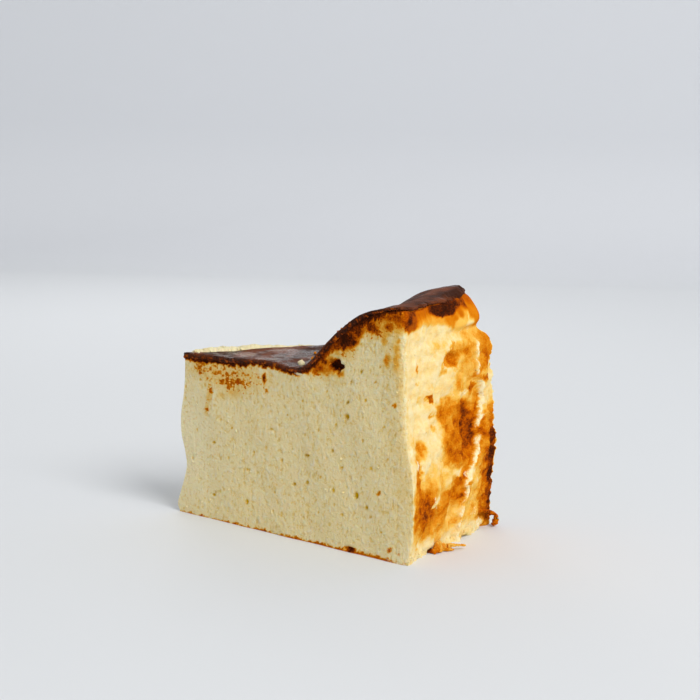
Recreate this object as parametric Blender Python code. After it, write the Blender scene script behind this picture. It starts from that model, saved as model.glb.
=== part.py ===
"""A slice of burnt Basque cheesecake, one solid that stands flat on its base.

The slice is worked out in millimetres, in a plan of its own: the tip at (0, 0), the middle line
along +X, the front cut on the -Y side, the rear cut on the +Y side, and the cake's outer side
between their far ends. A place on the outer side is given by `along`, from the front corner to
the rear corner, and by its height.
"""

import math
from collections import namedtuple

import bmesh
import bpy
import numpy as np
from mathutils import Vector, geometry, noise

MM = 0.001

# Plan of the slice at its base.
HALF_WEDGE = math.radians(16.5)
FRONT_CUT = 83.1
REAR_CUT = 92.7
FRONT_CORNER = np.array([math.cos(HALF_WEDGE), -math.sin(HALF_WEDGE)]) * FRONT_CUT
REAR_CORNER = np.array([math.cos(HALF_WEDGE), math.sin(HALF_WEDGE)]) * REAR_CUT
OUTER_WIDTH = float(np.linalg.norm(REAR_CORNER - FRONT_CORNER))
TIP_PLACE = np.array([-45.3, -1.5])  # puts the origin under the middle of the slice

# Height of the crust against the distance from the tip: nearly level over the sunken middle of
# the cake, a sharp valley, then a steep slope and a dome up to the high rim.
CRUST_AT_FRONT = ((0, 48.7), (20, 49.5), (36, 50.7), (43.5, 50.2), (47, 51.8), (52, 57.0),
                  (59, 63.4), (66, 68.4), (72, 70.6), (80, 71.9))
CRUST_AT_REAR = ((0, 48.9), (12, 49.9), (24, 51.0), (36, 52.1), (47, 53.6), (55, 59.2),
                 (63, 64.8), (70, 69.2), (76, 71.4), (81, 72.2), (90, 71.0))
CRUST_THICKNESS = 1.8
CRUST_BEAK = 0.5  # how far the crust overhangs the cream at the tip
CRUST_LIP = 0.35  # and along the cuts
CRUST_RIPPLE = 0.22
CRUST_RIPPLE_LENGTH = 11.0

# Cream drawn up by the knife along the rear edge of the crust.
CREAM_LIP = 0.9
CREAM_LIP_WIDTH = 1.6
CREAM_LIP_START = 5.0
CREAM_LIP_END = 44.0
CREAM_LIP_FADE = 4.0

# How far the outer side reaches past the straight line between the base corners, against the
# height: a heavy foot and a hollow upper half in front, a steep rib and a round shoulder behind.
WALL_AT_FRONT = ((0, 0.5), (6, 1.3), (18, 1.6), (26, 0.6), (34, -1.6), (44, -2.7), (60, -3.2),
                 (68, -3.3), (71, -4.1), (72, -5.0))
WALL_AT_REAR = ((0, 0.5), (20, 0.7), (32, 0.7), (40, -0.7), (54, -0.7), (57.5, -1.8), (60, -4.8),
                (62.5, -3.9), (66, -5.2), (69, -7.4), (71, -10.0))
RIM_HEIGHT = 71.8

# How far the tip's edge stands back from its base, against the height.
TIP_SETBACK = ((0, 0.0), (2, -0.8), (6, 0.2), (10, 1.5), (15, 2.6), (19, 1.9), (24, 0.4),
               (30, 0.1), (36, 1.0), (42, 1.5), (47, 1.5))
TIP_SETBACK_LENGTH = 9.0

# Lumps and hollows of the outer side. `out` is how far each stands out.
Relief = namedtuple("Relief", "along height half_width half_height out")
BURNT_HOLLOW = Relief(37.0, 32.0, 9.0, 12.0, -2.6)
CRATER = Relief(29.5, 53.5, 4.6, 3.6, -2.0)
UPPER_LEFT_HOLLOW = Relief(8.5, 31.0, 5.0, 4.5, -1.0)
LOWER_LEFT_SWELLING = Relief(11.0, 16.0, 10.0, 10.0, 0.9)
TORN_BAY = Relief(27.0, 10.0, 6.0, 8.0, -1.6)
MUFFIN_ROLL = Relief(44.0, 65.0, 8.0, 5.0, 1.2)
CORNER_BLISTER = Relief(5.0, 67.8, 5.0, 3.0, 0.8)
BURNT_SCAB = Relief(28.0, 69.0, 9.0, 3.4, 1.4)
FOOT_UNDERCUT = Relief(16.5, 0.0, 5.0, 3.2, -1.9)
FOOT_FLAKE = Relief(22.5, 0.3, 4.6, 1.7, 5.2)
REAR_CURL = Relief(51.5, 1.2, 3.4, 3.6, 2.4)
RELIEFS = (BURNT_HOLLOW, CRATER, UPPER_LEFT_HOLLOW, LOWER_LEFT_SWELLING, TORN_BAY, MUFFIN_ROLL,
           CORNER_BLISTER, BURNT_SCAB, FOOT_UNDERCUT, FOOT_FLAKE, REAR_CURL)

# The rib left by a fold of the baking paper, at the rear of the outer side: it steps up from a
# torn edge, which runs in zigzags, and settles to a lower ridge behind.
RIB_EDGE = ((0, 29.0), (5, 30.5), (12, 32.8), (18, 34.5), (22.5, 37.5), (28, 42.8), (34, 42.8),
            (40, 43.3), (44, 41.0), (48, 38.8), (56, 39.0))
RIB_RISE = 1.9
RIB_STEP = 2.2
RIB_CREST = 3.0
RIB_SETTLE = 8.0
RIB_RIDGE = 0.5  # share of the rise that is left behind the crest
RIB_TOP = 58.5
RIB_END = 2.5

# The smooth skin of the shoulder ends in a small step down to torn cream.
SHOULDER_EDGE = ((0, 65.2), (11, 65.3), (20, 64.4), (30, 62.8), (35, 61.2), (42, 61.8), (50, 60.2))
SHOULDER_STEP = 0.8
SHOULDER_BLEND = 1.2

# Unevenness: low waves on the cuts and lumps on the outer side. Both fade out towards the
# corners over this share of a side, and the corners pull only the ends of the cuts with them.
CUT_WAVE = 0.12
CUT_WAVE_LENGTH = 19.0
CUT_WAVE_LEAN = 9.0
CUT_LUMP = 0.2
CUT_LUMP_LENGTH = 14.0
LUMP_HEIGHT = 0.75
LUMP_LENGTH = 7.0
CORNER_FADE = 0.125
CORNER_PULL = 6

# Mesh density.
FRONT_COLUMNS = 28
OUTER_COLUMNS = 34
REAR_COLUMNS = 28
BODY_ROWS = 27
FOOT_ROWS = (0.0, 0.8, 1.7)
CRUST_ROWS = (3.0, 1.9, 1.0, 0.0)  # depths under the top edge
CAP_SPACING = 2.9
CAP_MARGIN = 0.6 * CAP_SPACING

CREAM_COLOUR = (0.90, 0.74, 0.42, 1.0)
CREAM_ROUGHNESS = 0.55
SMOOTH_BELOW = math.radians(40)


def curve(knots, at):
    """Smooth curve through (place, value) knots, held level past both ends."""
    place, value = np.array(knots, float).T
    slope = np.gradient(value, place)
    slope[[0, -1]] = 0.0
    cell = np.clip(np.searchsorted(place, at) - 1, 0, len(place) - 2)
    width = place[cell + 1] - place[cell]
    x = np.clip((at - place[cell]) / width, 0.0, 1.0)
    low = value[cell] * (1 + 2 * x) + slope[cell] * width * x
    high = value[cell + 1] * (3 - 2 * x) - slope[cell + 1] * width * (1 - x)
    return float(low * (1 - x) ** 2 + high * x**2)


def smooth(share):
    share = min(max(share, 0.0), 1.0)
    return share * share * (3 - 2 * share)


def between_corners(share):
    """1 over most of a side, fading to 0 at its two corners."""
    return smooth(share / CORNER_FADE) * smooth((1 - share) / CORNER_FADE)


def lumps(x, y, z, length, height):
    return height * noise.fractal(Vector((x, y, z)) / length, 0.8, 2.0, 3)


def crust_height(x, y):
    """Height of the top surface over a place in the plan."""
    reach = math.hypot(x, y)
    turn = 0.5
    if reach:
        turn = min(max(0.5 + math.atan2(y, x) / HALF_WEDGE / 2, 0.0), 1.0)
    level = (1 - turn) * curve(CRUST_AT_FRONT, reach) + turn * curve(CRUST_AT_REAR, reach)
    to_rear_cut = x * math.sin(HALF_WEDGE) - y * math.cos(HALF_WEDGE)
    lip = CREAM_LIP * (1 - smooth(to_rear_cut / CREAM_LIP_WIDTH))
    lip *= smooth((CREAM_LIP_END - reach) / CREAM_LIP_FADE) * smooth(reach / CREAM_LIP_START)
    return level + lip + lumps(x, y, 0, CRUST_RIPPLE_LENGTH, CRUST_RIPPLE)


def swell(relief, along, height):
    """A round lump or hollow that fades out at its half-width and half-height."""
    across = (along - relief.along) / relief.half_width
    up = (height - relief.height) / relief.half_height
    return relief.out * (1 - smooth(math.hypot(across, up)))


def rib(along, height):
    """The paper fold's rib behind its torn edge."""
    behind = along - curve(RIB_EDGE, height)
    rise = smooth(behind / RIB_STEP) * smooth((RIB_TOP - height) / RIB_END)
    settled = (1 - RIB_RIDGE) * smooth((behind - RIB_CREST) / RIB_SETTLE)
    return RIB_RISE * rise * (1 - settled)


def shoulder(along, height):
    below = (curve(SHOULDER_EDGE, along) - height) / SHOULDER_BLEND
    return -SHOULDER_STEP * smooth(below + 0.5)


def outer_reach(along, height):
    """How far the outer side stands out from the line between the base corners."""
    turn = along / OUTER_WIDTH
    reach = (1 - turn) * curve(WALL_AT_FRONT, height) + turn * curve(WALL_AT_REAR, height)
    reach += sum(swell(relief, along, height) for relief in RELIEFS)
    uneven = rib(along, height) + shoulder(along, height)
    uneven += lumps(along, 0, height, LUMP_LENGTH, LUMP_HEIGHT)
    return reach + uneven * between_corners(turn)


def cut_point(corner, side, share, height, depth):
    """A point of a cut: `share` of the way from the tip, `depth` under the top edge."""
    length = np.linalg.norm(corner)
    corner_along = 0.0 if side < 0 else OUTER_WIDTH
    run = share * length + outer_reach(corner_along, height) * share**CORNER_PULL
    near_tip = smooth(1 - run / TIP_SETBACK_LENGTH)
    in_crust = smooth((CRUST_THICKNESS - depth) / CRUST_THICKNESS)
    run += (curve(TIP_SETBACK, height) - CRUST_BEAK * in_crust) * near_tip
    out = CUT_WAVE * math.sin(run / CUT_WAVE_LENGTH * math.tau + height / CUT_WAVE_LEAN)
    out += CRUST_LIP * in_crust + lumps(run, side * length, height, CUT_LUMP_LENGTH, CUT_LUMP)
    direction = corner / length
    outward = np.array([side * -direction[1], side * direction[0]])
    return direction * run + outward * out * between_corners(share)


def outer_point(share, height):
    base = FRONT_CORNER + (REAR_CORNER - FRONT_CORNER) * share
    return base * (1 + outer_reach(share * OUTER_WIDTH, height) / np.linalg.norm(base))


def wall_columns():
    """The wall's columns, once round from the tip: each gives its plan point at a height and a
    depth under the top edge."""
    columns = []
    for i in range(FRONT_COLUMNS):
        share = i / FRONT_COLUMNS
        columns.append(lambda h, d, s=share: cut_point(FRONT_CORNER, -1, s, h, d))
    for i in range(OUTER_COLUMNS):
        share = i / OUTER_COLUMNS
        columns.append(lambda h, d, s=share: outer_point(s, h))
    for i in range(REAR_COLUMNS):
        share = 1 - i / REAR_COLUMNS
        columns.append(lambda h, d, s=share: cut_point(REAR_CORNER, 1, s, h, d))
    return columns


def column_heights(top):
    """Heights of the rows of a column whose top edge is at `top`."""
    low, high = FOOT_ROWS[-1], top - CRUST_ROWS[0]
    body = [low + (high - low) * k / BODY_ROWS for k in range(1, BODY_ROWS)]
    return [*FOOT_ROWS, *body, *(top - depth for depth in CRUST_ROWS)]


def fill_cap(bm, ring, inner, heights, upward):
    """Triangles over a ring of wall vertices and the loose plan points inside it."""
    plan = [Vector(v.co.xy) for v in ring] + [Vector(p) for p in inner]
    edges = [(i, (i + 1) % len(ring)) for i in range(len(ring))]
    _, _, faces, origins, _, _ = geometry.delaunay_2d_cdt(plan, edges, [], 1, 1e-4)
    verts = [*ring, *(bm.verts.new((*p, h)) for p, h in zip(inner, heights))]
    for face in faces:
        corners = [verts[origins[index][0]] for index in face]
        bm.faces.new(corners if upward else corners[::-1])


def cap_points(ring):
    """Plan points on a triangular grid inside the top ring."""
    outer = np.array([v.co.xy for v in ring[FRONT_COLUMNS:FRONT_COLUMNS + OUTER_COLUMNS + 1]])
    turns = np.arctan2(outer[:, 1], outer[:, 0])
    reaches = np.hypot(outer[:, 0], outer[:, 1])
    row_height = CAP_SPACING * math.sin(math.radians(60))
    most_rows = math.ceil(OUTER_WIDTH / 2 / row_height)
    found = []
    for row in range(-most_rows, most_rows + 1):
        for step in range(1, math.ceil(REAR_CUT / CAP_SPACING)):
            x, y = (step + row % 2 / 2) * CAP_SPACING, row * row_height
            to_cut = x * math.sin(HALF_WEDGE) - abs(y) * math.cos(HALF_WEDGE)
            to_outer = np.interp(math.atan2(y, x), turns, reaches) - math.hypot(x, y)
            if min(to_cut, to_outer) > CAP_MARGIN:
                found.append((x, y))
    return found


def slice_mesh():
    bm = bmesh.new()
    wall = []
    for column in wall_columns():
        top = crust_height(*column(RIM_HEIGHT, 0.0))
        top = crust_height(*column(top, 0.0))
        heights = column_heights(top)
        wall.append([bm.verts.new((*column(h, top - h), h)) for h in heights])
    for this, after in zip(wall, wall[1:] + wall[:1]):
        for k in range(len(this) - 1):
            bm.faces.new((this[k], after[k], after[k + 1], this[k + 1]))
    top_ring = [column[-1] for column in wall]
    inner = cap_points(top_ring)
    fill_cap(bm, top_ring, inner, [crust_height(*p) for p in inner], upward=True)
    fill_cap(bm, [column[0] for column in wall], [], [], upward=False)
    bmesh.ops.translate(bm, verts=bm.verts, vec=(*TIP_PLACE, 0))
    bmesh.ops.scale(bm, verts=bm.verts, vec=(MM, MM, MM))
    mesh = bpy.data.meshes.new("cheesecake_slice")
    bm.to_mesh(mesh)
    bm.free()
    mesh.shade_smooth()
    mesh.set_sharp_from_angle(angle=SMOOTH_BELOW)
    return mesh


def cream_material():
    material = bpy.data.materials.new("baked_cream")
    material.use_nodes = True
    surface = material.node_tree.nodes["Principled BSDF"]
    surface.inputs["Base Color"].default_value = CREAM_COLOUR
    surface.inputs["Roughness"].default_value = CREAM_ROUGHNESS
    return material


def main():
    for obj in list(bpy.data.objects):
        bpy.data.objects.remove(obj)
    mesh = slice_mesh()
    mesh.materials.append(cream_material())
    piece = bpy.data.objects.new("cheesecake_slice", mesh)
    bpy.context.collection.objects.link(piece)


main()
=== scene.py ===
"""Looks of a slice of burnt Basque cheesecake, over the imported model.

Shapes are worked out in millimetres, in the slice's own plan: the tip at (0, 0), the middle line
along +X, the front cut on the -Y side, the rear cut on the +Y side, and the cake's outer side
between their far ends. `along` runs over the outer side from the front corner to the rear one,
`run` over a cut from the tip. `bake` is how dark a place is baked: 0 is cream, 1 is burnt.
"""

import math
from collections import namedtuple

import bmesh
import bpy
import numpy as np
from bpy.props import FloatProperty, FloatVectorProperty, IntProperty, PointerProperty
from bpy.types import Operator, Panel, PropertyGroup
from mathutils import Matrix, Vector, geometry, noise


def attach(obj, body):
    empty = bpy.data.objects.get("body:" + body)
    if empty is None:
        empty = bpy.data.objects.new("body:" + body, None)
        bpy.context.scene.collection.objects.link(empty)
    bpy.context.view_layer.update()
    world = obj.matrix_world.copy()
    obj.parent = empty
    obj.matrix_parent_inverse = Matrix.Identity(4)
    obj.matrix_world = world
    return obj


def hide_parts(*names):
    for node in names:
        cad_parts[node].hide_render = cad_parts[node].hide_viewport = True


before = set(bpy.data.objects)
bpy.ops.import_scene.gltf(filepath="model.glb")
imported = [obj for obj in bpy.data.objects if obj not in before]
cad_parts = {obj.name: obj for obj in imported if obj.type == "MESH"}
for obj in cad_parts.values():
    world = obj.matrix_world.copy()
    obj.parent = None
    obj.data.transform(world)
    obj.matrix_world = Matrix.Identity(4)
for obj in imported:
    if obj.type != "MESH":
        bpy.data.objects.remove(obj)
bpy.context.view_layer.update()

bl_info = {
    "name": "Burnt Basque cheesecake slice",
    "version": (1, 0, 0),
    "blender": (4, 5, 0),
    "location": "3D View > Sidebar > Cheesecake",
    "description": "Makes a slice of burnt Basque cheesecake with its crust, pores and crumbs",
    "category": "Add Mesh",
}

NODE = "cheesecake_slice"
BODY_SLOT = "baked_cream"
CRUST_SLOT = "burnt_crust"
CREAM = "cheesecake_cream"
MM = 0.001
SHARP_ANGLE = math.radians(60)

# Plan of the slice, as the solid has it.
HALF_WEDGE = math.radians(16.5)
FRONT_CUT = 83.1
REAR_CUT = 92.7
FRONT_CORNER = np.array([math.cos(HALF_WEDGE), -math.sin(HALF_WEDGE)]) * FRONT_CUT
REAR_CORNER = np.array([math.cos(HALF_WEDGE), math.sin(HALF_WEDGE)]) * REAR_CUT
OUTER_WIDTH = float(np.linalg.norm(REAR_CORNER - FRONT_CORNER))
TIP_PLACE = np.array([-45.3, -1.5])

# Height of the crust against the distance from the tip.
CRUST_AT_FRONT = ((0, 48.9), (8, 49.5), (20, 50.0), (36, 50.9), (43.5, 50.3), (47, 51.8),
                  (52, 57.0), (59, 63.4), (66, 68.4), (72, 70.6), (80, 71.9))
CRUST_AT_REAR = ((0, 48.9), (12, 49.9), (24, 51.2), (36, 52.4), (47, 53.9), (55, 59.2),
                 (63, 64.8), (70, 69.2), (76, 71.4), (81, 72.2), (86, 71.9), (90, 70.6))
CRUST_THICKNESS = 1.8  # down to this depth the wall follows the crust
CRUST_BEAK = 0.5  # how far it juts out there at the tip
CRUST_LIP = 0.35  # and at the cuts
CRUST_RIPPLE = 0.22
CRUST_RIPPLE_LENGTH = 11.0
CRUST_DROOP = 1.3  # how far the crust hangs down along the outer side
DROOP_START = 73.0
DROOP_LENGTH = 7.0
DROOP_FRONT_FADE = 0.25  # share of the outer side over which it begins and ends
DROOP_REAR_FADE = 0.4
BODY_DROP = 1.2  # the body's own top lies this far under the crust's

# Cream drawn up by the knife along the rear edge of the crust.
CREAM_LIP = 0.9
CREAM_LIP_WIDTH = 1.6
CREAM_LIP_START = 5.0
CREAM_LIP_END = 44.0
CREAM_LIP_FADE = 4.0
LIP_SHARE = ((4, 1.0), (9, 1.2), (16, 1.15), (21, 1.0), (26, 0.85), (32, 0.7), (38, 0.6),
             (44, 0.5))
LIP_RAGGED = ((5.0, 83.0, 0.14), (1.6, 89.0, 0.12))  # (length, pattern, height)
LIP_ROOM = 1.0  # the crust stands back this far behind the lip

# How far the outer side reaches past the line between the base corners, against the height.
WALL_AT_FRONT = ((0, 0.5), (6, 1.3), (18, 1.6), (26, 0.6), (34, -1.6), (44, -2.7), (60, -3.2),
                 (68, -3.3), (71, -4.1), (72, -5.0))
WALL_AT_REAR = ((0, 0.5), (20, 0.7), (32, 0.7), (40, -0.7), (54, -0.7), (57.5, -1.8), (60, -4.8),
                (62.5, -3.9), (66, -5.2), (69, -7.4), (71, -10.0))
RIM_HEIGHT = 71.8

# How far the tip's edge stands back from its base, against the height.
TIP_SETBACK = ((0, 0.0), (2, -0.8), (6, 0.2), (10, 1.5), (15, 2.6), (19, 1.9), (24, 0.4),
               (30, 0.1), (36, 1.0), (42, 1.5), (47, 1.5))
TIP_SETBACK_LENGTH = 9.0

# Lumps and hollows of the outer side. `out` is how far each stands out, `rim` how much of its
# radius the slope at its edge takes: 1 is a soft swelling, less is a crisp dent.
Relief = namedtuple("Relief", "along height half_width half_height out rim")
RELIEF_ROWS = (
    (37, 32, 9, 12, -2.6, 1),  # burnt hollow
    (28, 53.4, 4.6, 3, -1.2, 0.6),  # crater
    (30.6, 53, 1.8, 2.4, -0.6, 0.7),  # and its deep end
    (51, 49.5, 6, 5, -1.4, 1),  # dips of the rear corner
    (51, 32, 6, 7, -1.1, 1),
    (8.5, 31, 5, 4.5, -1, 1),  # upper left hollow
    (11, 16, 10, 10, 0.9, 1),  # lower left swelling
    (27, 10, 6, 8, -1.6, 1),  # torn bay
    (44, 65, 8, 5, 1.2, 1),  # muffin roll
    (5, 67.8, 5, 3, 0.8, 0.8),  # corner blister
    (28, 69, 9, 3.4, 1.4, 1),  # burnt scab
    (17.5, 0, 4.8, 2.2, -2.2, 0.35),  # foot undercut
    (33.5, 0, 3.5, 1.2, -1.6, 0.5),  # and two smaller ones
    (46, 0, 3, 1.2, -1.4, 0.5),
)
RELIEFS = tuple(Relief(*row) for row in RELIEF_ROWS)
FOOT_JAG = ((1.5, 0.8), (0.7, 0.5))  # (length, height) of the torn foot's unevenness
FOOT_JAG_HEIGHT = 3.0
FOOT_JAG_STRETCH = 0.3  # how slowly it changes with the height

# The paper fold's rib behind its torn edge.
RIB_EDGE = ((0, 28.6), (6, 29.4), (12, 31.6), (18, 33.2), (22.5, 37.2), (27, 41.0), (32, 41.2),
            (38, 43.6), (42, 43.0), (48, 41.4), (56, 41.6))
RIB_RISE = 1.5  # how far it stands out
RIB_STEP = 0.6  # width of the step at its edge
RIB_CREST = 3.0  # this far behind the edge it begins to settle
RIB_SETTLE = 8.0
RIB_RIDGE = 0.5  # share of the rise that is left then
RIB_TOP = 58.5
RIB_END = 2.5  # over this height it ends below its top
TEAR_ZIGZAG = 0.9
TEAR_ZIGZAG_LENGTH = 2.6
TEAR_WIDTH = 0.5  # of the pale torn cream along the edge, on average
TEAR_WIDTH_GRAIN = (3.2, 2.0)  # (length, share of the width) of its unevenness
TEAR_BACK = 0.2  # it starts this far behind the edge
TEAR_FADE_IN = 0.7
TEAR_FADE = 1.1
# How dark the skin in front of the edge is, against the height: its own burnt brown, darkest next
# to the edge as painted shadow of the rib's step.
TEAR_BURN_AND_SHADOW = ((8, 0.2), (12, 0.48), (17, 0.57), (21, 0.62), (24, 0.71), (38, 0.73), (42, 0.5),
             (45, 0.2))
TEAR_BURN_AND_SHADOW_WIDTH = 5.0
TEAR_BAKE = 0.12
TEAR_COVER = 0.85  # how much of it hides the bake under it
TEAR_PALE = 0.65

# The smooth skin of the shoulder ends in a small step down to torn cream.
SHOULDER_EDGE = ((0, 64.5), (10, 64.8), (13, 65.2), (20, 64.4), (30, 62.8), (35, 61.2),
                 (42, 61.8), (50, 60.2))
SHOULDER_EDGE_GRAIN = (3.0, 0.7)  # (length, height)
SHOULDER_STEP = 0.55
SHOULDER_BLEND = 1.3

# Unevenness, as the solid has it.
CUT_WAVE = 0.12
CUT_WAVE_LENGTH = 19.0
CUT_WAVE_LEAN = 9.0
CUT_LUMP = 0.2
CUT_LUMP_LENGTH = 14.0
LUMP_HEIGHT = 0.75
LUMP_LENGTH = 7.0
CORNER_FADE = 0.125  # share of a side over which unevenness fades at a corner
CORNER_PULL = 6  # the power with which a cut's end follows the outer side

# The corners of the outer side are rounded: share of the rounding against the height.
FRONT_SOFTNESS = ((0, 0.6), (12, 0.45), (26, 0.5), (36, 0.85), (72, 1.0))
REAR_SOFTNESS = ((0, 0.0), (56, 0.05), (62, 0.4), (72, 0.4))
REAR_CORNER_GRAIN = ((3.0, 0.5), (1.0, 0.4))  # (length, height) of the ragged rear corner
REAR_CORNER_WIDTH = 0.2  # share of the outer side over which it grows
SOFT_COLUMNS = (6.5, 19)  # deviation and reach of the rounding, in columns
# The rounding takes this much off the front corner, so the corner starts further out.
ROUNDED_OFF = ((0, 0.7), (12, 0.6), (26, 0.8), (38, 1.2), (50, 1.2), (72, 0.8))
ROUNDED_WIDTH = 9.0

# Finer unevenness of the torn outer side: (length, height).
TORN_GRAIN = ((3.6, 0.27), (1.7, 0.14), (0.9, 0.08))
BURNT_GRAIN = ((1.4, 0.5), (0.7, 0.3))
SCAB = (30.0, 68.5, 11.5, 4.0)  # the burnt skin under the crust, where BURNT_GRAIN lies

# Mesh density.
FRONT_COLUMNS = 230
OUTER_COLUMNS = 165
REAR_COLUMNS = 105
FRONT = slice(0, FRONT_COLUMNS)
OUTER = slice(FRONT_COLUMNS, FRONT_COLUMNS + OUTER_COLUMNS)
REAR = slice(FRONT_COLUMNS + OUTER_COLUMNS, None)
WALL_ROWS = 150
CAP_SPACING = 2.2

# Baked patches of the outer side, each painted over the ones before it. `edge` is how softly a
# patch ends: the share of its radius that its fade takes on either side.
Patch = namedtuple("Patch", "along height half_width half_height value edge", defaults=(0.4,))


def patch_rows(*rows):
    """Patches from rows of their numbers."""
    return [Patch(*row) for row in rows]


OUTER_BASE = 0.13
OUTER_PATCHES = patch_rows(
    # broad golden grounds
    (11, 12, 14, 7, 0.43, 0.5), (15, 11, 9, 4.5, 0.49, 0.6), (17, 20.5, 10, 4.5, 0.26, 0.5),
    (29, 8.5, 6, 4.5, 0.29, 0.5), (35.5, 50, 7, 7.5, 0.3, 0.5), (37, 56, 4.5, 2.4, 0.44, 0.5),
    (21, 58.4, 4.5, 1.6, 0.24, 0.6), (23, 26, 5, 4, 0.2, 0.6), (16, 44, 4, 2, 0.16, 0.6),
    (43.5, 54, 8, 7, 0.38, 0.6),
    # the rib and its blotches
    (46.5, 12, 9, 9.5, 0.44, 0.3), (45, 24, 9, 12, 0.27, 0.3), (36, 9, 5, 4.5, 0.29),
    (48, 19, 4.6, 17, 0.75, 0.5), (50.2, 17, 3.6, 16, 0.88, 0.7), (43.6, 19, 1.8, 2, 0.52),
    (45, 13, 2.4, 1.6, 0.56), (41, 14, 1.4, 1.2, 0.44), (38.5, 8.5, 1.4, 1.2, 0.4),
    (42.5, 7, 1.6, 0.8, 0.4), (47, 7, 2.4, 2, 0.62), (49, 32.5, 3.6, 2.8, 0.52),
    (47.8, 55, 4.4, 4.2, 0.52, 0.7), (46.4, 51.6, 2.4, 2.6, 0.68), (45.4, 53.2, 1.4, 1.6, 0.64),
    (45.6, 47.8, 3, 3.6, 0.54), (46.8, 46.8, 1.2, 1.6, 0.66), (45, 47.4, 1.2, 1, 0.3),
    (47.6, 41, 4.4, 4, 0.17), (45, 2.2, 3, 1.5, 0.16), (40.1, 44.5, 0.9, 0.8, 0.95),
    # the burnt hollow
    (22.5, 38.6, 4.2, 3.2, 0.48, 0.5), (32.5, 31.5, 9, 10.5, 0.58, 0.35),
    (36.5, 31, 6.6, 9.5, 0.63, 0.35), (38.8, 33.5, 3.6, 5.6, 0.76, 0.5),
    (35.4, 26, 2.6, 2.6, 0.76, 0.5), (32.2, 26, 0.9, 1.2, 0.84), (27, 35.5, 2, 3, 0.46),
    (36.5, 42.2, 5, 1.2, 0.2, 0.6), (33, 44.5, 2.4, 1.4, 0.42), (33.5, 57.2, 1.2, 1.2, 0.3),
    (39, 53.6, 1, 1.4, 0.5), (36.6, 55.2, 1.6, 1, 0.56),
    # upper left spot
    (4.2, 33.2, 1.8, 1.2, 0.28, 0.8), (9.2, 30.9, 2.6, 2.4, 0.52, 0.8),
    (6.6, 29, 2.2, 1.2, 0.38, 0.8),
    # lower left
    (5.2, 23.6, 1.9, 3.4, 0.6, 0.5), (5.8, 25, 1.2, 1.2, 0.7, 0.6), (6.5, 14, 7.6, 5.8, 0.6, 0.6),
    (8, 13.6, 4, 3.8, 0.7, 0.7), (7.6, 9.3, 1, 0.6, 0.76), (12, 20, 1, 0.9, 0.46),
    (14.5, 15, 2.4, 1.6, 0.12),
    # lower middle
    (27, 14.8, 7, 3.4, 0.52, 0.5), (30.8, 17, 2, 1.8, 0.66, 0.5), (30.6, 13.2, 3.4, 0.8, 0.72),
    (21.4, 16, 1.6, 0.9, 0.58), (32, 20, 4.4, 1.6, 0.08), (29.4, 6.8, 1.6, 0.8, 0.4),
    # foot
    (8, 1, 14, 4.8, 0.12), (24, 1.5, 6, 2.4, 0.14), (32, 1.5, 5, 1.6, 0.16),
    (16.5, 3.6, 1.4, 1.2, 0.3), (6, 3.2, 1, 0.6, 0.26),
    # crater and dots
    (27.8, 53.7, 4.8, 2.9, 0.46, 0.1), (31, 53, 1.8, 2, 0.6, 0.5), (43, 60.5, 8, 0.9, 0.28, 0.8),
    (25.6, 50.9, 2.2, 0.7, 0.26), (8.8, 53.1, 0.9, 1.1, 0.46), (29.3, 57.3, 0.8, 0.8, 0.44),
    (9.2, 49, 1.4, 0.5, 0.28), (17.6, 43.5, 1.4, 0.45, 0.7), (10.9, 44, 1.4, 1.4, 0.22),
    (16.9, 38.6, 1.4, 0.8, 0.46), (40.6, 44.4, 1.6, 1.3, 0.68), (48.4, 49.2, 1.2, 1.8, 0.16),
    (17.4, 36, 1.8, 0.5, 0.4), (15.5, 47, 2.4, 0.5, 0.2), (23.4, 52.2, 0.8, 0.6, 0.36),
)

SHOULDER_BASE = 0.35
SHOULDER_TOAST_AND_SHADE = 0.42  # how much darker the skin is just under the crust: partly its own browning, partly painted shade under the crust's edge
SHOULDER_TOAST_AND_SHADE_DEPTH = 5.0
SHOULDER_STREAK = (1.3, 0.09)  # (length, bake) of its streaks
SHOULDER_STREAK_STRETCH = 4.0  # how much longer they are than wide
SHOULDER_PATCHES = patch_rows(
    (20, 69.4, 20, 1.6, 0.64, 0.8), (23, 64.6, 9, 1.8, 0.37, 0.8),
    (29.8, 64.2, 2.4, 2.6, 0.54, 0.8), (32.6, 64, 1.4, 2.2, 0.54), (37.5, 63, 2.6, 2.4, 0.26, 0.5),
    (46.2, 65, 5.2, 5, 0.54, 0.4), (46, 60.8, 5, 1, 0.58), (48, 69, 3, 2, 0.7, 0.6),
    (39.6, 70.8, 5.4, 2.4, 0.87, 0.3), (41.2, 64.2, 0.5, 1.6, 0.2, 0.8),
    (4.2, 67.2, 5.4, 2.4, 0.73, 0.14), (2, 68.6, 3.6, 1.6, 0.72, 0.14), (3.6, 68.7, 4, 1.9, 0.89),
    (5.6, 67.6, 2, 1.2, 0.76), (0, 69.4, 4, 1.4, 0.72), (-3.4, 67.4, 2, 1.4, 0.34),
    (37, 70.2, 6, 1.5, 0.9, 0.15), (30, 70.6, 12, 2, 0.95, 0.2), (29, 68.2, 8.6, 2.7, 0.96, 0.15),
    (36, 68.6, 3.6, 2, 0.95, 0.1), (41.4, 69, 2.4, 2, 0.8, 0.4), (37.4, 66, 2, 1.6, 0.62, 0.6),
    (33.4, 64.6, 1.4, 1.4, 0.58, 0.6), (41.5, 62, 2.4, 1.6, 0.15, 0.5),
)

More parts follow.
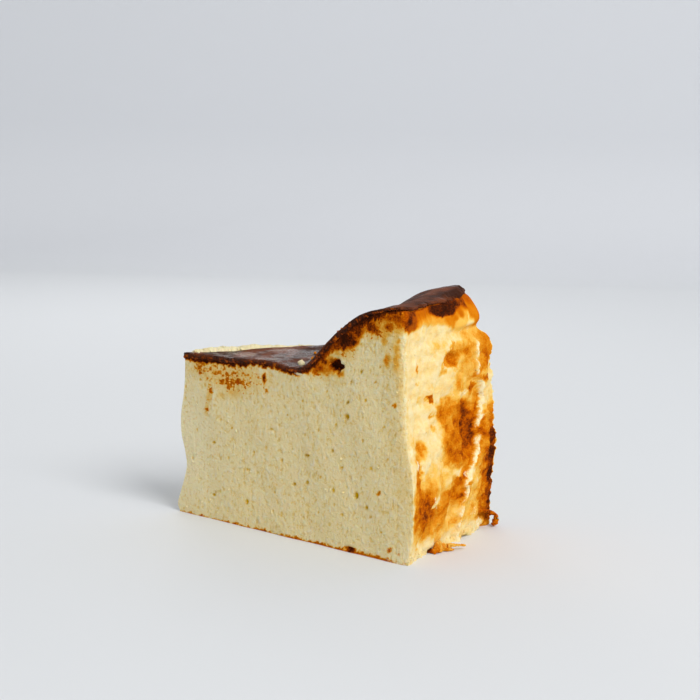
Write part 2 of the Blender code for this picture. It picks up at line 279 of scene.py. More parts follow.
# Whiter cream, freshly torn.
WHITE_TEARS = patch_rows(
    (33.5, 18.8, 0.8, 1.6, 0.5), (31, 9, 0.6, 1.6, 0.5), (13, 15.6, 1.1, 1, 0.5),
    (14.8, 13.8, 1.2, 1.2, 0.5), (2.2, 31.6, 1.6, 1.6, 0.56), (5.6, 27.2, 1.8, 0.9, 0.6),
    (27, 3, 3, 1.5, 0.3), (45, 2.5, 2.5, 2.2, 0.5), (20, 2, 4, 1.2, 0.3), (37, 12, 1, 1.2, 0.4),
    (36, 7, 1.4, 1, 0.4), (37.5, 42.4, 3, 0.8, 0.4),
)

PATCH_WARP = ((5.0, 1.3), (1.7, 0.7), (0.75, 0.45))  # (length, how far) that noise shifts them
DRAWN_OUT = 1.6  # how much longer than high the outer side's unevenness is
CUT_REACH = 3.0  # how far a cut's look reaches round its corner
OUTER_SPECK = 0.1  # density of small brown dots
OUTER_FADE_IN = 1.6  # width of the fade from the front cut's cream
OUTER_FADE_GRAIN = (3.0, 0.5)  # (length, share) of its unevenness
BEHIND_CRUST = 1.0  # down to this depth the crust's edge hides the wall
RIM_BAKE = 0.85  # just below it
RIM_FADE = 1.2
UNEVEN_BAKE = 0.04  # how much the bake of the outer side varies
UNEVEN_TORN = 0.2  # and by how much more, times its bake, where it is torn
UNEVEN_LENGTH = 3.4
CHARRED = (0.7, 0.15)  # bake from which skin is as rough as torn cream, and the change's width

# The front cut's single pores: (run, height, half-width, half-height, depth).
PORES = (
    (61.8, 38.8, 0.95, 1, 1), (62, 43, 0.65, 0.6, 0.6), (66.2, 52.2, 0.5, 0.6, 0.6),
    (48, 25.4, 1.15, 0.45, 0.7), (57, 28.3, 0.5, 0.6, 0.6), (43.6, 16.2, 0.65, 0.6, 0.6),
    (48.2, 17.5, 0.65, 0.8, 0.6), (65.6, 16.8, 0.9, 1.3, 0.9), (57.8, 17, 0.6, 0.8, 0.3),
    (69.3, 14, 0.6, 0.7, 0.6), (73.5, 19, 0.5, 0.5, 0.5), (26.2, 7.8, 0.7, 0.9, 0.5),
    (13.3, 7.5, 0.7, 0.6, 0.5), (13.2, 23.5, 0.8, 0.5, 0.4), (26, 17.5, 0.5, 0.5, 0.4),
    (28.5, 23, 0.4, 0.5, 0.4), (63, 49, 0.45, 0.4, 0.4), (71, 50, 0.4, 0.4, 0.4),
    (7.6, 41.8, 0.6, 0.5, 0.4), (70.8, 11.6, 0.45, 0.5, 0.4), (35, 31, 0.5, 0.4, 0.3),
    (20, 29, 0.4, 0.5, 0.3), (40.5, 36, 0.4, 0.5, 0.3), (52, 33.5, 0.4, 0.6, 0.35),
    (46, 41, 0.45, 0.5, 0.3), (54.5, 45, 0.4, 0.5, 0.3), (58, 36, 0.5, 0.4, 0.3),
    (68, 44.5, 0.5, 0.55, 0.35), (74.5, 38, 0.5, 0.4, 0.3), (67.5, 33, 0.45, 0.6, 0.35),
    (60.5, 24, 0.5, 0.5, 0.35), (53, 20, 0.45, 0.5, 0.3), (76, 29, 0.4, 0.5, 0.3),
    (70.5, 25.5, 0.6, 0.45, 0.35), (61, 10.5, 0.5, 0.5, 0.35), (52.5, 9.5, 0.45, 0.4, 0.3),
    (36.5, 12.5, 0.45, 0.5, 0.3), (74.5, 8, 0.5, 0.45, 0.35), (39, 22.5, 0.4, 0.5, 0.3),
    (66, 60, 0.4, 0.5, 0.3), (72.5, 54.5, 0.4, 0.5, 0.3),
)
# Slope of a pore: the share of its radius that is flat, and the share that its wall takes.
PORE_FLOOR = 0.25
PORE_WALL = 0.85
PORE_SHADE_REACH = 1.5  # how far up its wall a pore gets painted shade

# The burst hole under the crust, given as the pores are, and its pointed outline.
CRUST_HOLE = (57.5, 52.8, 2.9, 2.1, 2.0)
CRUST_HOLE_POINTS = 5
CRUST_HOLE_POINT_DEPTH = 0.2
CRUST_HOLE_FLOOR = 0.6
CRUST_HOLE_BAKE = 0.92
BASE_PIT = (63.7, 1.1, 2.2, 0.9, 1.0)  # at the foot, given as the pores are

# Density of the crumbs, as a share of the greatest.
CUT_CRUMBS = 0.02
TORN_CRUMBS = 0.008
TEAR_CRUMBS = 0.12
FOOT_CRUMBS = 0.4
LIP_CRUMBS = 0.3
FOOT_CRUMBS_HEIGHT = 3.0
CRUMBS_START = (0.6, 0.4)  # they begin at this height above the floor, over this height
CRUMBLESS_EDGE = 3.0  # a cut has no crumbs this near its top and the tip
CRUMBLESS_FOOT = 1.0

# Stains of the front cut.
CUT_PATCHES = patch_rows(
    (73, 67.2, 11.5, 3, 0.2), (67.5, 65.6, 4.4, 2, 0.42), (73, 68.8, 9, 1.5, 0.55, 0.6),
    (65.8, 67, 2.4, 1.4, 0.78), (69.4, 65.2, 1.6, 1.2, 0.66), (71.2, 63.8, 0.7, 1, 0.62),
    (61.8, 60.8, 3.2, 2.4, 0.84), (60.2, 58.8, 1.6, 1.2, 0.84), (64.6, 62.8, 2.2, 1.6, 0.7),
    (79.5, 68.6, 5, 2.4, 0.5), (76, 69.2, 6, 1.4, 0.64), (75.4, 66.2, 1.6, 1, 0.56),
    (82, 68, 3, 2, 0.6), (54, 53, 4.5, 2.8, 0.36), (53.2, 53.2, 1, 0.9, 0.74),
    (51.4, 51.4, 1.4, 0.8, 0.6), (56.4, 56.6, 3, 0.9, 0.16), (58.8, 50.6, 1.4, 0.8, 0.5),
    (50, 50, 1, 0.7, 0.5), (73.5, 61.7, 0.8, 1.6, 0.3, 0.8), (74.8, 56.4, 0.9, 1.6, 0.34, 0.8),
    (78, 57.5, 1.2, 4.5, 0.24, 0.9), (78.6, 62.4, 0.6, 0.7, 0.4, 0.7),
    (80, 50, 1.2, 4.5, 0.22, 0.9), (16.1, 38, 1.6, 1, 0.17, 1), (20.6, 39.3, 2.2, 1.2, 0.16, 1),
    (31.5, 45.6, 0.5, 1.4, 0.78, 0.6), (32.6, 42.2, 0.4, 0.8, 0.5), (83, 32, 6, 22, 0.06, 0.9),
    (73.5, 19, 0.5, 0.4, 0.5), (77.8, 44.3, 0.7, 0.5, 0.5), (5.4, 29.5, 0.5, 0.4, 0.3),
    (77.5, 3, 0.9, 0.6, 0.6), (63.9, 1.2, 2.2, 0.7, 0.86, 0.3), (81, 3, 0.7, 0.5, 0.5),
)
# Its paler cream, and painted light: the first patch brightens the tip where it catches the light,
# the second the foot of the front corner where light bounces up from below.
CUT_PALE_AND_LIGHT = patch_rows(
    (0, 21, 22, 25, 0.62, 1), (83, 1.5, 8, 6, 0.5, 0.8), (44.5, 48.6, 2, 0.5, 0.6),
    (48.2, 50.6, 0.6, 0.5, 0.7), (51.5, 44, 1.1, 0.35, 0.95), (63.2, 18.2, 0.4, 1.8, 0.75),
    (64.3, 17.4, 0.3, 1.5, 0.7),
)
# Density of its brown specks.
SPECK_PATCHES = patch_rows(
    (19, 45, 15, 3.4, 0.75, 0.6), (19.5, 43.2, 9, 3.4, 1, 0.8), (8, 45.4, 3, 2.2, 0.95),
    (52, 51, 6, 3.4, 0.8), (60.5, 59.5, 4.6, 4.6, 0.85), (69, 65.6, 9, 3.4, 0.95),
    (79, 67.2, 4, 2.4, 0.7), (76.6, 58.5, 3.4, 5.5, 0.5), (56, 48.5, 4, 1.8, 0.4),
    (11, 37.8, 1.1, 3, 1.1, 0.5), (10, 33.4, 0.8, 2, 0.9, 0.6),
)

# The dark band under the crust: (run, its depth under the crust's top).
BAND_DEPTH = ((0, 2.1), (8, 2.5), (20, 2.4), (32, 2.3), (42, 2.2), (47, 2.9), (52, 4.0), (57, 4.8),
              (61, 5.2), (65, 4.2), (70, 3.1), (77, 2.2), (83, 1.8))
BAND_FUZZ = ((1.6, 3.0, 1.1), (0.6, 5.0, 0.3))  # (length, pattern, height)
BAND_FADE = 1.0
BAND_BAKE = 0.68
BAND_BURN = 0.24  # how much darker it is just under the crust
BAND_BURN_DEPTH = (1.2, 2.8)  # down to the first, fading over the second
FOOT_STAIN = ((0, 0.1), (20, 0.2), (35, 0.35), (60, 0.6), (76, 0.8), (83, 0.3))  # (run, height)
FOOT_FUZZ = 0.7  # share of the band's fuzz
FOOT_FADE = 0.5
FOOT_BAKE = 0.62
SPECK_BAKE = 0.15  # how much the specks brown the cream round them

# The rear cut: its drawn-up cream is pale down to a depth, with specks under the crust.
LIP_PALE = 0.9
LIP_PALE_DEPTH = 1.2
LIP_FADE = 1.5
REAR_SPECK = 0.4  # and how much it varies
REAR_SPECK_LENGTH = 6.0
REAR_SPECK_DEPTH = (2.0, 4.0)  # down to the first, fading over the second
CUT_WARP = (1.8, 0.7)  # as PATCH_WARP


# Shapes.


def curve(knots, at):
    """Smooth curve through (place, value) knots, held level past both ends."""
    place, value = np.array(knots, float).T
    slope = np.gradient(value, place)
    slope[[0, -1]] = 0.0
    at = np.asarray(at, float)
    cell = np.clip(np.searchsorted(place, at) - 1, 0, len(place) - 2)
    width = place[cell + 1] - place[cell]
    x = np.clip((at - place[cell]) / width, 0.0, 1.0)
    low = value[cell] * (1 + 2 * x) + slope[cell] * width * x
    high = value[cell + 1] * (3 - 2 * x) - slope[cell + 1] * width * (1 - x)
    return low * (1 - x) ** 2 + high * x**2


def smooth(share):
    """Eases a share between 0 and 1, held level past both."""
    share = np.clip(share, 0.0, 1.0)
    return share * share * (3 - 2 * share)


def fade(distance, width, begun=0.0):
    """Grows from 0 to 1 over that width. At distance 0 the share `begun` lies behind it."""
    return smooth(distance / width + begun)


def between_corners(share):
    """1 over most of a side, fading to 0 at its two corners."""
    return fade(share, CORNER_FADE) * fade(1 - share, CORNER_FADE)


def lumps(x, y, z, length, height, octaves=3):
    """Unevenness of that length and height at each place.

    A fixed number in place of a coordinate gives each use a pattern of its own.
    """
    places = np.stack(np.broadcast_arrays(x, y, z), -1).astype(float) / length
    values = [noise.fractal(place, 0.8, 2.0, octaves) for place in places.reshape(-1, 3).tolist()]
    return height * np.array(values).reshape(places.shape[:-1])


def oval(along, height, at, up, half_width, half_height):
    """Distance from an oval's middle, where its edge is 1."""
    return np.hypot((along - at) / half_width, (height - up) / half_height)


def crust_level(x, y):
    """Height of the crust's top over a place in the plan, without the drawn-up cream."""
    reach = np.hypot(x, y)
    turn = np.where(reach > 0, np.clip(0.5 + np.arctan2(y, x) / HALF_WEDGE / 2, 0.0, 1.0), 0.5)
    level = (1 - turn) * curve(CRUST_AT_FRONT, reach) + turn * curve(CRUST_AT_REAR, reach)
    droop = CRUST_DROOP * fade(reach - DROOP_START, DROOP_LENGTH)
    level = level - droop * fade(turn, DROOP_FRONT_FADE) * fade(1 - turn, DROOP_REAR_FADE)
    return level + lumps(x, y, 0.0, CRUST_RIPPLE_LENGTH, CRUST_RIPPLE)


def lip_share(x, y):
    """1 at the rear edge where cream is drawn up, fading to 0 away from it."""
    to_rear_cut = x * math.sin(HALF_WEDGE) - y * math.cos(HALF_WEDGE)
    return (1 - fade(to_rear_cut, CREAM_LIP_WIDTH)) * drawn_up(np.hypot(x, y))


def drawn_up(reach):
    """Share of the rear edge's drawn-up cream at a distance from the tip."""
    ragged = curve(LIP_SHARE, reach)
    for length, pattern, rise in LIP_RAGGED:
        ragged = ragged + lumps(reach, 0.0, pattern, length, rise)
    ragged = ragged * fade(CREAM_LIP_END - reach, CREAM_LIP_FADE)
    return ragged * fade(reach, CREAM_LIP_START)


def crust_height(x, y):
    """Height of the crust's top with the drawn-up cream."""
    return crust_level(x, y) + CREAM_LIP * lip_share(x, y)


def body_top(x, y):
    """Height of the body's own top, which shows only where cream is drawn up."""
    lip = lip_share(x, y)
    return crust_level(x, y) + CREAM_LIP * lip - BODY_DROP * (1 - lip)


def behind_tear(along, height):
    """Distance behind the torn edge of the rib."""
    zigzag = lumps(0.7 * along, 3.0, height, TEAR_ZIGZAG_LENGTH, TEAR_ZIGZAG, 2)
    return along - curve(RIB_EDGE, height) - zigzag


def tear(along, height):
    """1 on the pale torn cream along the rib's edge."""
    behind = behind_tear(along, height)
    width = TEAR_WIDTH * (1 + lumps(9.0, 0.0, height, *TEAR_WIDTH_GRAIN))
    share = fade(behind, TEAR_FADE_IN, 0.4) * (1 - fade(behind - TEAR_BACK - width, TEAR_FADE, 0.3))
    return share * fade(RIB_TOP - height, RIB_END)


def rib(along, height):
    """How far the rib stands out: a step at its torn edge, a crest and a long slope."""
    behind = behind_tear(along, height)
    rise = fade(behind, RIB_STEP, 0.3) * fade(RIB_TOP - height, RIB_END)
    settled = (1 - RIB_RIDGE) * fade(behind - RIB_CREST, RIB_SETTLE)
    return RIB_RISE * rise * (1 - settled)


def below_shoulder(along, height):
    """0 on the shoulder's smooth skin, 1 below its edge."""
    edge = curve(SHOULDER_EDGE, along) + lumps(along, 5.0, 0.0, *SHOULDER_EDGE_GRAIN)
    return fade(edge - height, SHOULDER_BLEND, 0.5)


def outer_reach(along, height, grain=True):
    """How far the outer side stands out from the line between the base corners."""
    turn = along / OUTER_WIDTH
    reach = (1 - turn) * curve(WALL_AT_FRONT, height) + turn * curve(WALL_AT_REAR, height)
    reach = reach + curve(ROUNDED_OFF, height) * smooth(1 - along / ROUNDED_WIDTH)
    for relief in RELIEFS:
        from_middle = oval(along, height, *relief[:4])
        reach = reach + relief.out * (1 - fade(from_middle - (1 - relief.rim), relief.rim))
    uneven = rib(along, height) + lumps(along, 0.0, height, LUMP_LENGTH, LUMP_HEIGHT)
    torn = below_shoulder(along, height)
    uneven -= SHOULDER_STEP * torn
    ragged = fade(turn - (1 - REAR_CORNER_WIDTH), REAR_CORNER_WIDTH) * torn
    for length, rise in REAR_CORNER_GRAIN:
        reach = reach + ragged * lumps(along, 13.0, height, length, rise)
    if grain:
        foot = 1 - fade(height, FOOT_JAG_HEIGHT)
        for length, rise in FOOT_JAG:
            uneven += foot * lumps(along, 19.0, FOOT_JAG_STRETCH * height, length, rise)
        for length, rise in TORN_GRAIN:
            uneven += torn * lumps(along / DRAWN_OUT, 11.0, height, length, rise)
        burnt = 1 - smooth(oval(along, height, *SCAB))
        for length, rise in BURNT_GRAIN:
            uneven += burnt * lumps(along, 17.0, height, length, rise)
    return reach + uneven * between_corners(turn)


def hole_shape(run, height):
    """Cover of the ragged hole under the crust, with its points."""
    at, up, half_width, half_height, _ = CRUST_HOLE
    across, over = (run - at) / half_width, (height - up) / half_height
    points = 1 + CRUST_HOLE_POINT_DEPTH * np.cos(CRUST_HOLE_POINTS * np.arctan2(over, across))
    return 1 - fade(np.hypot(across, over) / points - CRUST_HOLE_FLOOR, 1 - CRUST_HOLE_FLOOR)


def cut_dents(run, height):
    """(depth, cover of painted shade) of the single pores of the front cut. The pit gets no painted
    shade.
    """
    depth = np.zeros_like(run)
    covered = np.zeros_like(run)
    for pore in (*PORES, BASE_PIT):
        dent = 1 - fade(oval(run, height, *pore[:4]) - PORE_FLOOR, PORE_WALL)
        depth = np.maximum(depth, pore[4] * dent)
        if pore is not BASE_PIT:
            covered = np.maximum(covered, np.minimum(PORE_SHADE_REACH * dent, 1.0))
    return np.maximum(depth, CRUST_HOLE[4] * hole_shape(run, height)), covered


def cut_plan(corner, side, share, height, depth):
    """Plan points of a cut: `share` of the way from the tip, `depth` under the top edge."""
    length = np.linalg.norm(corner)
    corner_along = np.full_like(height, 0.0 if side < 0 else OUTER_WIDTH)
    run = share * length + outer_reach(corner_along, height, grain=False) * share**CORNER_PULL
    near_tip = smooth(1 - run / TIP_SETBACK_LENGTH)
    in_crust = fade(CRUST_THICKNESS - depth, CRUST_THICKNESS)
    run = run + (curve(TIP_SETBACK, height) - CRUST_BEAK * in_crust) * near_tip
    out = CUT_WAVE * np.sin(run / CUT_WAVE_LENGTH * math.tau + height / CUT_WAVE_LEAN)
    out = out + CRUST_LIP * in_crust + lumps(run, side * length, height, CUT_LUMP_LENGTH, CUT_LUMP)
    direction = corner / length
    outward = np.array([side * -direction[1], side * direction[0]])
    plan = direction * run[..., None] + outward * (out * between_corners(share))[..., None]
    return plan, run, outward


def outer_plan(share, height):
    """Plan points of the outer side: `share` of the way from the front corner."""
    base = FRONT_CORNER + (REAR_CORNER - FRONT_CORNER) * share[..., None]
    reach = outer_reach(share * OUTER_WIDTH, height)
    return base * (1 + reach / np.linalg.norm(base, axis=-1))[..., None]


def wall_plan(height, depth):
    """Plan points once round the wall from the tip, for arrays of one row per column."""
    shares = column_shares()[:, None] + np.zeros_like(height)
    points = np.zeros((*height.shape, 2))
    runs = np.zeros_like(height)
    points[FRONT], runs[FRONT], outward = cut_plan(
        FRONT_CORNER, -1, shares[FRONT], height[FRONT], depth[FRONT])
    dent, _ = cut_dents(runs[FRONT], height[FRONT])
    points[FRONT] -= outward * (dent * between_corners(shares[FRONT]))[..., None]
    points[OUTER] = outer_plan(shares[OUTER], height[OUTER])
    runs[OUTER] = shares[OUTER] * OUTER_WIDTH
    points[REAR], runs[REAR], _ = cut_plan(REAR_CORNER, 1, shares[REAR], height[REAR], depth[REAR])
    points = softened(points, FRONT_COLUMNS, height, FRONT_SOFTNESS)
    return softened(points, FRONT_COLUMNS + OUTER_COLUMNS, height, REAR_SOFTNESS), runs


def softened(points, column, height, softness):
    """Wall points with the corner at that column rounded, more so where the wall is higher."""
    deviation, reach = SOFT_COLUMNS
    count = len(points)
    shifts = np.arange(-reach, reach + 1)
    weights = np.exp(-0.5 * (shifts / deviation)**2)
    weights /= weights.sum()
    blurred = np.tensordot(weights, np.array([np.roll(points, s, axis=0) for s in shifts]), 1)
    far = np.abs((np.arange(count) - column + count // 2) % count - count // 2)
    near = (1 - smooth(far / reach - 0.4))[:, None] * curve(softness, height)
    return points + (blurred - points) * near[..., None]


def column_shares():
    """Each wall column's share of the way along its side."""
    return np.concatenate([
        np.arange(FRONT_COLUMNS) / FRONT_COLUMNS,
        np.arange(OUTER_COLUMNS) / OUTER_COLUMNS,
        1 - np.arange(REAR_COLUMNS) / REAR_COLUMNS,
    ])


def column_tops(top_of):
    """Plan point and height of every wall column's top edge."""
    count = FRONT_COLUMNS + OUTER_COLUMNS + REAR_COLUMNS
    height = np.full((count, 1), RIM_HEIGHT)
    for _ in range(2):
        plan, _ = wall_plan(height, np.zeros_like(height))
        height = top_of(plan[..., 0], plan[..., 1])
    return plan[:, 0], height[:, 0]


def warped(along, height):
    """The places shifted by noise, so that the patches' edges wander."""
    for length, far in PATCH_WARP:
        along = along + DRAWN_OUT * lumps(along / DRAWN_OUT, 23.0, height, length, far)
        height = height + lumps(along / DRAWN_OUT, 31.0, height, length, far)
    return along, height


def painted(base, patches, along, height):
    """A value over a side, with each patch painted over the ones before it."""
    value = base
    for patch in patches:
        covered = 1 - fade(oval(along, height, *patch[:4]) - 1, 2 * patch.edge, 0.5)
        value = value + (patch.value - value) * covered
    return value


def half_warped(along, height):
    """As warped, but half as far."""
    at, up = warped(along, height)
    return (along + at) / 2, (height + up) / 2


def cut_warped(run, height):
    """As warped, for a cut."""
    return run + lumps(run, 51.0, height, *CUT_WARP), height + lumps(run, 57.0, height, *CUT_WARP)


def kept_in_place(patches, warp):
    """The patches moved as the warp moves their middles, so that only their edges wander."""
    middles = warp(*np.array([patch[:2] for patch in patches]).T)
    return [patch._replace(along=along, height=height)
            for patch, along, height in zip(patches, *middles)]


def painted_warped(base, patches, warp, along, height):
    """As painted, with patches whose edges wander."""
    return painted(base, kept_in_place(patches, warp), *warp(along, height))


def outer_bake(along, height, depth):
    """Bake of the outer side."""
    torn = below_shoulder(along, height)
    # Darker just under the crust: browned skin and painted shade under the crust's edge.
    toast_and_shade = SHOULDER_TOAST_AND_SHADE * (1 - fade(depth - BEHIND_CRUST, SHOULDER_TOAST_AND_SHADE_DEPTH))
    streaks = lumps(along, 43.0, height / SHOULDER_STREAK_STRETCH, *SHOULDER_STREAK)
    skin = painted_warped(SHOULDER_BASE + toast_and_shade + streaks, SHOULDER_PATCHES, half_warped,
                          along, height)
    bare = painted_warped(np.full_like(along, OUTER_BASE), OUTER_PATCHES, warped, along, height)
    behind = behind_tear(along, height)
    # Darkest next to the torn edge: burnt skin and painted shadow of the rib's step.
    burn = curve(TEAR_BURN_AND_SHADOW, height) * smooth(1 + behind / TEAR_BURN_AND_SHADOW_WIDTH) * (behind < 0.0)
    bare = np.maximum(bare, burn)
    bare = bare + (TEAR_BAKE - bare) * TEAR_COVER * tear(along, height)
    bare = bare * fade(along, OUTER_FADE_IN, lumps(0.0, 7.0, height, *OUTER_FADE_GRAIN))
    bake = skin + (bare - skin) * torn
    varied = UNEVEN_BAKE + UNEVEN_TORN * bake * torn
    bake = bake + varied * lumps(along, 41.0, height, UNEVEN_LENGTH, 1.0)
    return np.maximum(bake, RIM_BAKE * (1 - fade(depth - BEHIND_CRUST, RIM_FADE)))


def band_bake(run, height, depth):
    """Bake of the dark band under the crust and of the stain along the foot."""
    fuzz = sum(lumps(run, pattern, height, length, rise) for length, pattern, rise in BAND_FUZZ)
    band = 1 - fade(depth - curve(BAND_DEPTH, run) + fuzz, BAND_FADE, 0.5)
    foot = 1 - fade(height - curve(FOOT_STAIN, run) + FOOT_FUZZ * fuzz, FOOT_FADE, 0.3)
    burn_depth, burn_fade = BAND_BURN_DEPTH
    burn = BAND_BURN * (1 - fade(depth - burn_depth, burn_fade))
    return np.maximum(band * (BAND_BAKE + burn), FOOT_BAKE * foot)


def front_bake(run, height, depth):
    """(bake, speck density) of the front cut."""
    none = np.zeros_like(run)
    speck = painted_warped(none, SPECK_PATCHES, cut_warped, run, height)
    bake = np.maximum(band_bake(run, height, depth),
                      painted_warped(none, CUT_PATCHES, cut_warped, run, height))
    bake = np.maximum(bake, CRUST_HOLE_BAKE * hole_shape(*cut_warped(run, height)))
    return bake + SPECK_BAKE * speck, speck


def rear_bake(run, height, depth):
    """(bake, speck density) of the rear cut."""
    lip = full_lip(run) * (1 - fade(depth - BEHIND_CRUST, LIP_FADE))
    speck_depth, speck_fade = REAR_SPECK_DEPTH
    speck = REAR_SPECK + lumps(run, 91.0, height, REAR_SPECK_LENGTH, REAR_SPECK)
    return (band_bake(run, height, depth) * (1 - lip),
            speck * (1 - fade(depth - speck_depth, speck_fade)))


def full_lip(run):
    """1 wherever much cream is drawn up."""
    return np.minimum(2 * drawn_up(run), 1.0)


def body_attributes(runs, height, depth):
    """Point attributes of the wall, keyed by name."""
    bake, speck, pore, pale, grain, crumbs = (np.zeros_like(height) for _ in range(6))
    cut = np.ones_like(height)
    bake[FRONT], speck[FRONT] = front_bake(runs[FRONT], height[FRONT], depth[FRONT])
    # painted shade inside the single pores
    _, pore[FRONT] = cut_dents(runs[FRONT], height[FRONT])
    # paler cream, with painted light at the tip and at the foot of the front corner
    pale[FRONT] = painted(pale[FRONT], CUT_PALE_AND_LIGHT, runs[FRONT], height[FRONT])
    # no paler cream or painted light over the brown specks
    pale[FRONT] *= 1 - np.minimum(speck[FRONT], 1.0)

    outer = runs[OUTER], height[OUTER]
    torn = below_shoulder(*outer)
    bake[OUTER] = outer_bake(*outer, depth[OUTER])
    speck[OUTER] = OUTER_SPECK * torn
    pale[OUTER] = painted_warped(TEAR_PALE * tear(*outer), WHITE_TEARS, warped, *outer) * torn
    cut[OUTER] = 1 - fade(runs[OUTER], CUT_REACH)
    charred, change = CHARRED
    grain[OUTER] = np.maximum(torn, fade(bake[OUTER] - charred, change))

    bake[REAR], speck[REAR] = rear_bake(runs[REAR], height[REAR], depth[REAR])
    pale[REAR] = LIP_PALE * full_lip(runs[REAR]) * (
        1 - fade(depth[REAR] - LIP_PALE_DEPTH, LIP_FADE))

    away = (np.minimum(depth, runs) > CRUMBLESS_EDGE) & (height > CRUMBLESS_FOOT)
    crumbs[FRONT] = CUT_CRUMBS * away[FRONT]
    crumbs[OUTER] = crumb_density(*outer)
    crumbs[REAR] = np.maximum(CUT_CRUMBS * away[REAR], LIP_CRUMBS * pale[REAR])
    return {"bake": bake, "speck": speck, "pore": pore, "pale": pale, "cut": cut, "grain": grain,
            "crumbs": crumbs}


def crumb_density(along, height):
    """Share of the greatest density of crumbs on the outer side."""
    foot = 1 - fade(height, FOOT_CRUMBS_HEIGHT)
    share = np.maximum(TEAR_CRUMBS * tear(along, height), FOOT_CRUMBS * foot)
    share = np.maximum(share, TORN_CRUMBS) * below_shoulder(along, height)
    start, change = CRUMBS_START
    return share * fade(height - start, change)


def cap_points(ring, spacing, margin):
    """Plan points on a triangular grid inside a ring that goes once round from the tip."""
    outer = ring[FRONT_COLUMNS:FRONT_COLUMNS + OUTER_COLUMNS + 1]
    turns, reaches = np.arctan2(outer[:, 1], outer[:, 0]), np.hypot(*outer.T)
    order = np.argsort(turns)
    row_height = spacing * math.sin(math.radians(60))
    rows = np.arange(-math.ceil(OUTER_WIDTH / row_height), math.ceil(OUTER_WIDTH / row_height) + 1)
    steps = np.arange(1, math.ceil(REAR_CUT / spacing))
    row, step = np.meshgrid(rows, steps, indexing="ij")
    x, y = (step + row % 2 / 2) * spacing, row * row_height
    to_cut = x * math.sin(HALF_WEDGE) - np.abs(y) * math.cos(HALF_WEDGE)
    to_outer = np.interp(np.arctan2(y, x), turns[order], reaches[order]) - np.hypot(x, y)
    keep = np.minimum(to_cut, to_outer) > margin
    return np.stack([x[keep], y[keep]], -1)


def cap_faces(wall, row, inner, start, upward):
    """Triangles over a row of a wall and the loose points inside it, numbered from `start`."""
    columns, rows = wall.shape[:2]
    plan = [Vector(place) for place in (*wall[:, row, :2].tolist(), *inner.tolist())]
    edges = [(i, (i + 1) % columns) for i in range(columns)]
    _, _, faces, origins, _, _ = geometry.delaunay_2d_cdt(plan, edges, [], 1, 1e-5)
    triangles = []
    for face in faces:
        corners = [origins[index][0] for index in face]
        corners = [c * rows + row if c < columns else c - columns + start for c in corners]
        triangles.append(corners if upward else corners[::-1])
    return triangles


def tube_faces(columns, rows):
    """Quads between neighbouring columns of a closed wall, each column running upwards."""
    this = np.arange(columns)[:, None] * rows + np.arange(rows - 1)[None, :]
    after = np.roll(this, -1, axis=0)
    return np.stack([this, after, after + 1, this + 1], -1).reshape(-1, 4).tolist()


def new_object(name, points, faces, material):
    """A smooth mesh object from points in metres."""
    mesh = bpy.data.meshes.new(name)
    mesh.from_pydata(points, [], faces)
    mesh.shade_smooth()
    mesh.materials.append(material)
    thing = bpy.data.objects.new(name, mesh)
    bpy.context.scene.collection.objects.link(thing)
    return thing


def new_piece(name, points, faces, material, attributes):
    """A piece from points in millimetres of the slice's plan."""
    placed = (np.asarray(points) + [*TIP_PLACE, 0.0]) * MM
    piece = new_object(name, placed.tolist(), faces, material)
    for key, values in attributes.items():
        layer = piece.data.attributes.new(key, "FLOAT", "POINT")
        layer.data.foreach_set("value", np.asarray(values, np.float32))
    piece.data.set_sharp_from_angle(angle=SHARP_ANGLE)
    return piece


def body_piece(material):
    """The slice's body: a wall of columns once round it, its top and its flat base."""
    plan, top = column_tops(body_top)
    height = top[:, None] * np.linspace(0.0, 1.0, WALL_ROWS)[None, :]
    depth = np.maximum(crust_height(*plan.T)[:, None] - height, 0.0)
    points, runs = wall_plan(height, depth)
    wall = np.concatenate([points, height[..., None]], -1)
    inner = cap_points(wall[:, -1, :2], CAP_SPACING, 0.6 * CAP_SPACING)
    start = len(wall) * WALL_ROWS
    faces = tube_faces(len(wall), WALL_ROWS)
    faces += cap_faces(wall, WALL_ROWS - 1, inner, start, True)
    faces += cap_faces(wall, 0, inner[:0], start, False)
    everything = np.concatenate([wall.reshape(-1, 3), np.column_stack([inner, body_top(*inner.T)])])
    padded = {key: np.concatenate([value.reshape(-1), np.zeros(len(inner))])
              for key, value in body_attributes(runs, height, depth).items()}
    return new_piece("slice_body", everything, faces, material, padded)


# The crust's edge, from its top round to its underside: (inset, share of the thickness).
CRUST_EDGE = ((0.45, 0.0), (0.12, 0.1), (0.0, 0.3), (0.0, 0.55), (0.1, 0.8), (0.5, 1.0))
CRUST_THICK = ((0, 1.8), (8, 1.7), (30, 1.4), (42, 1.4), (50, 2.0), (58, 2.4), (64, 1.9), (69, 1.1),
               (77, 0.9), (90, 0.9))
CRUST_THICK_GRAIN = (3.0, 0.35)  # (length, height)
CRUST_JAG = ((0.9, 0.12), (2.6, 0.25))
CRUST_OUTER_JAG = ((0.8, 0.5), (1.6, 0.5), (3.5, 0.7))
CRUST_WRINKLE = ((1.6, 0.1), (5.0, 0.2))
CRUST_TOP_CAP = (0.75, 1.1)  # (spacing, margin) of the points inside its outline
CRUST_BASE_CAP = (3.0, 2.5)
CRUST_NARROW = 9.0  # the edge's unevenness fades towards the tip from here
CRUST_TIP_INSET = 0.2  # share of its edge's inset that is left at the tip
CORNER_COLUMNS = 7  # columns over which the edge turns a corner
CRUST_OVERHANG = 0.9  # how far it reaches past the outer side
CRUST_OUTER_RUST = 0.2  # how rusty its edge is there, against the cuts

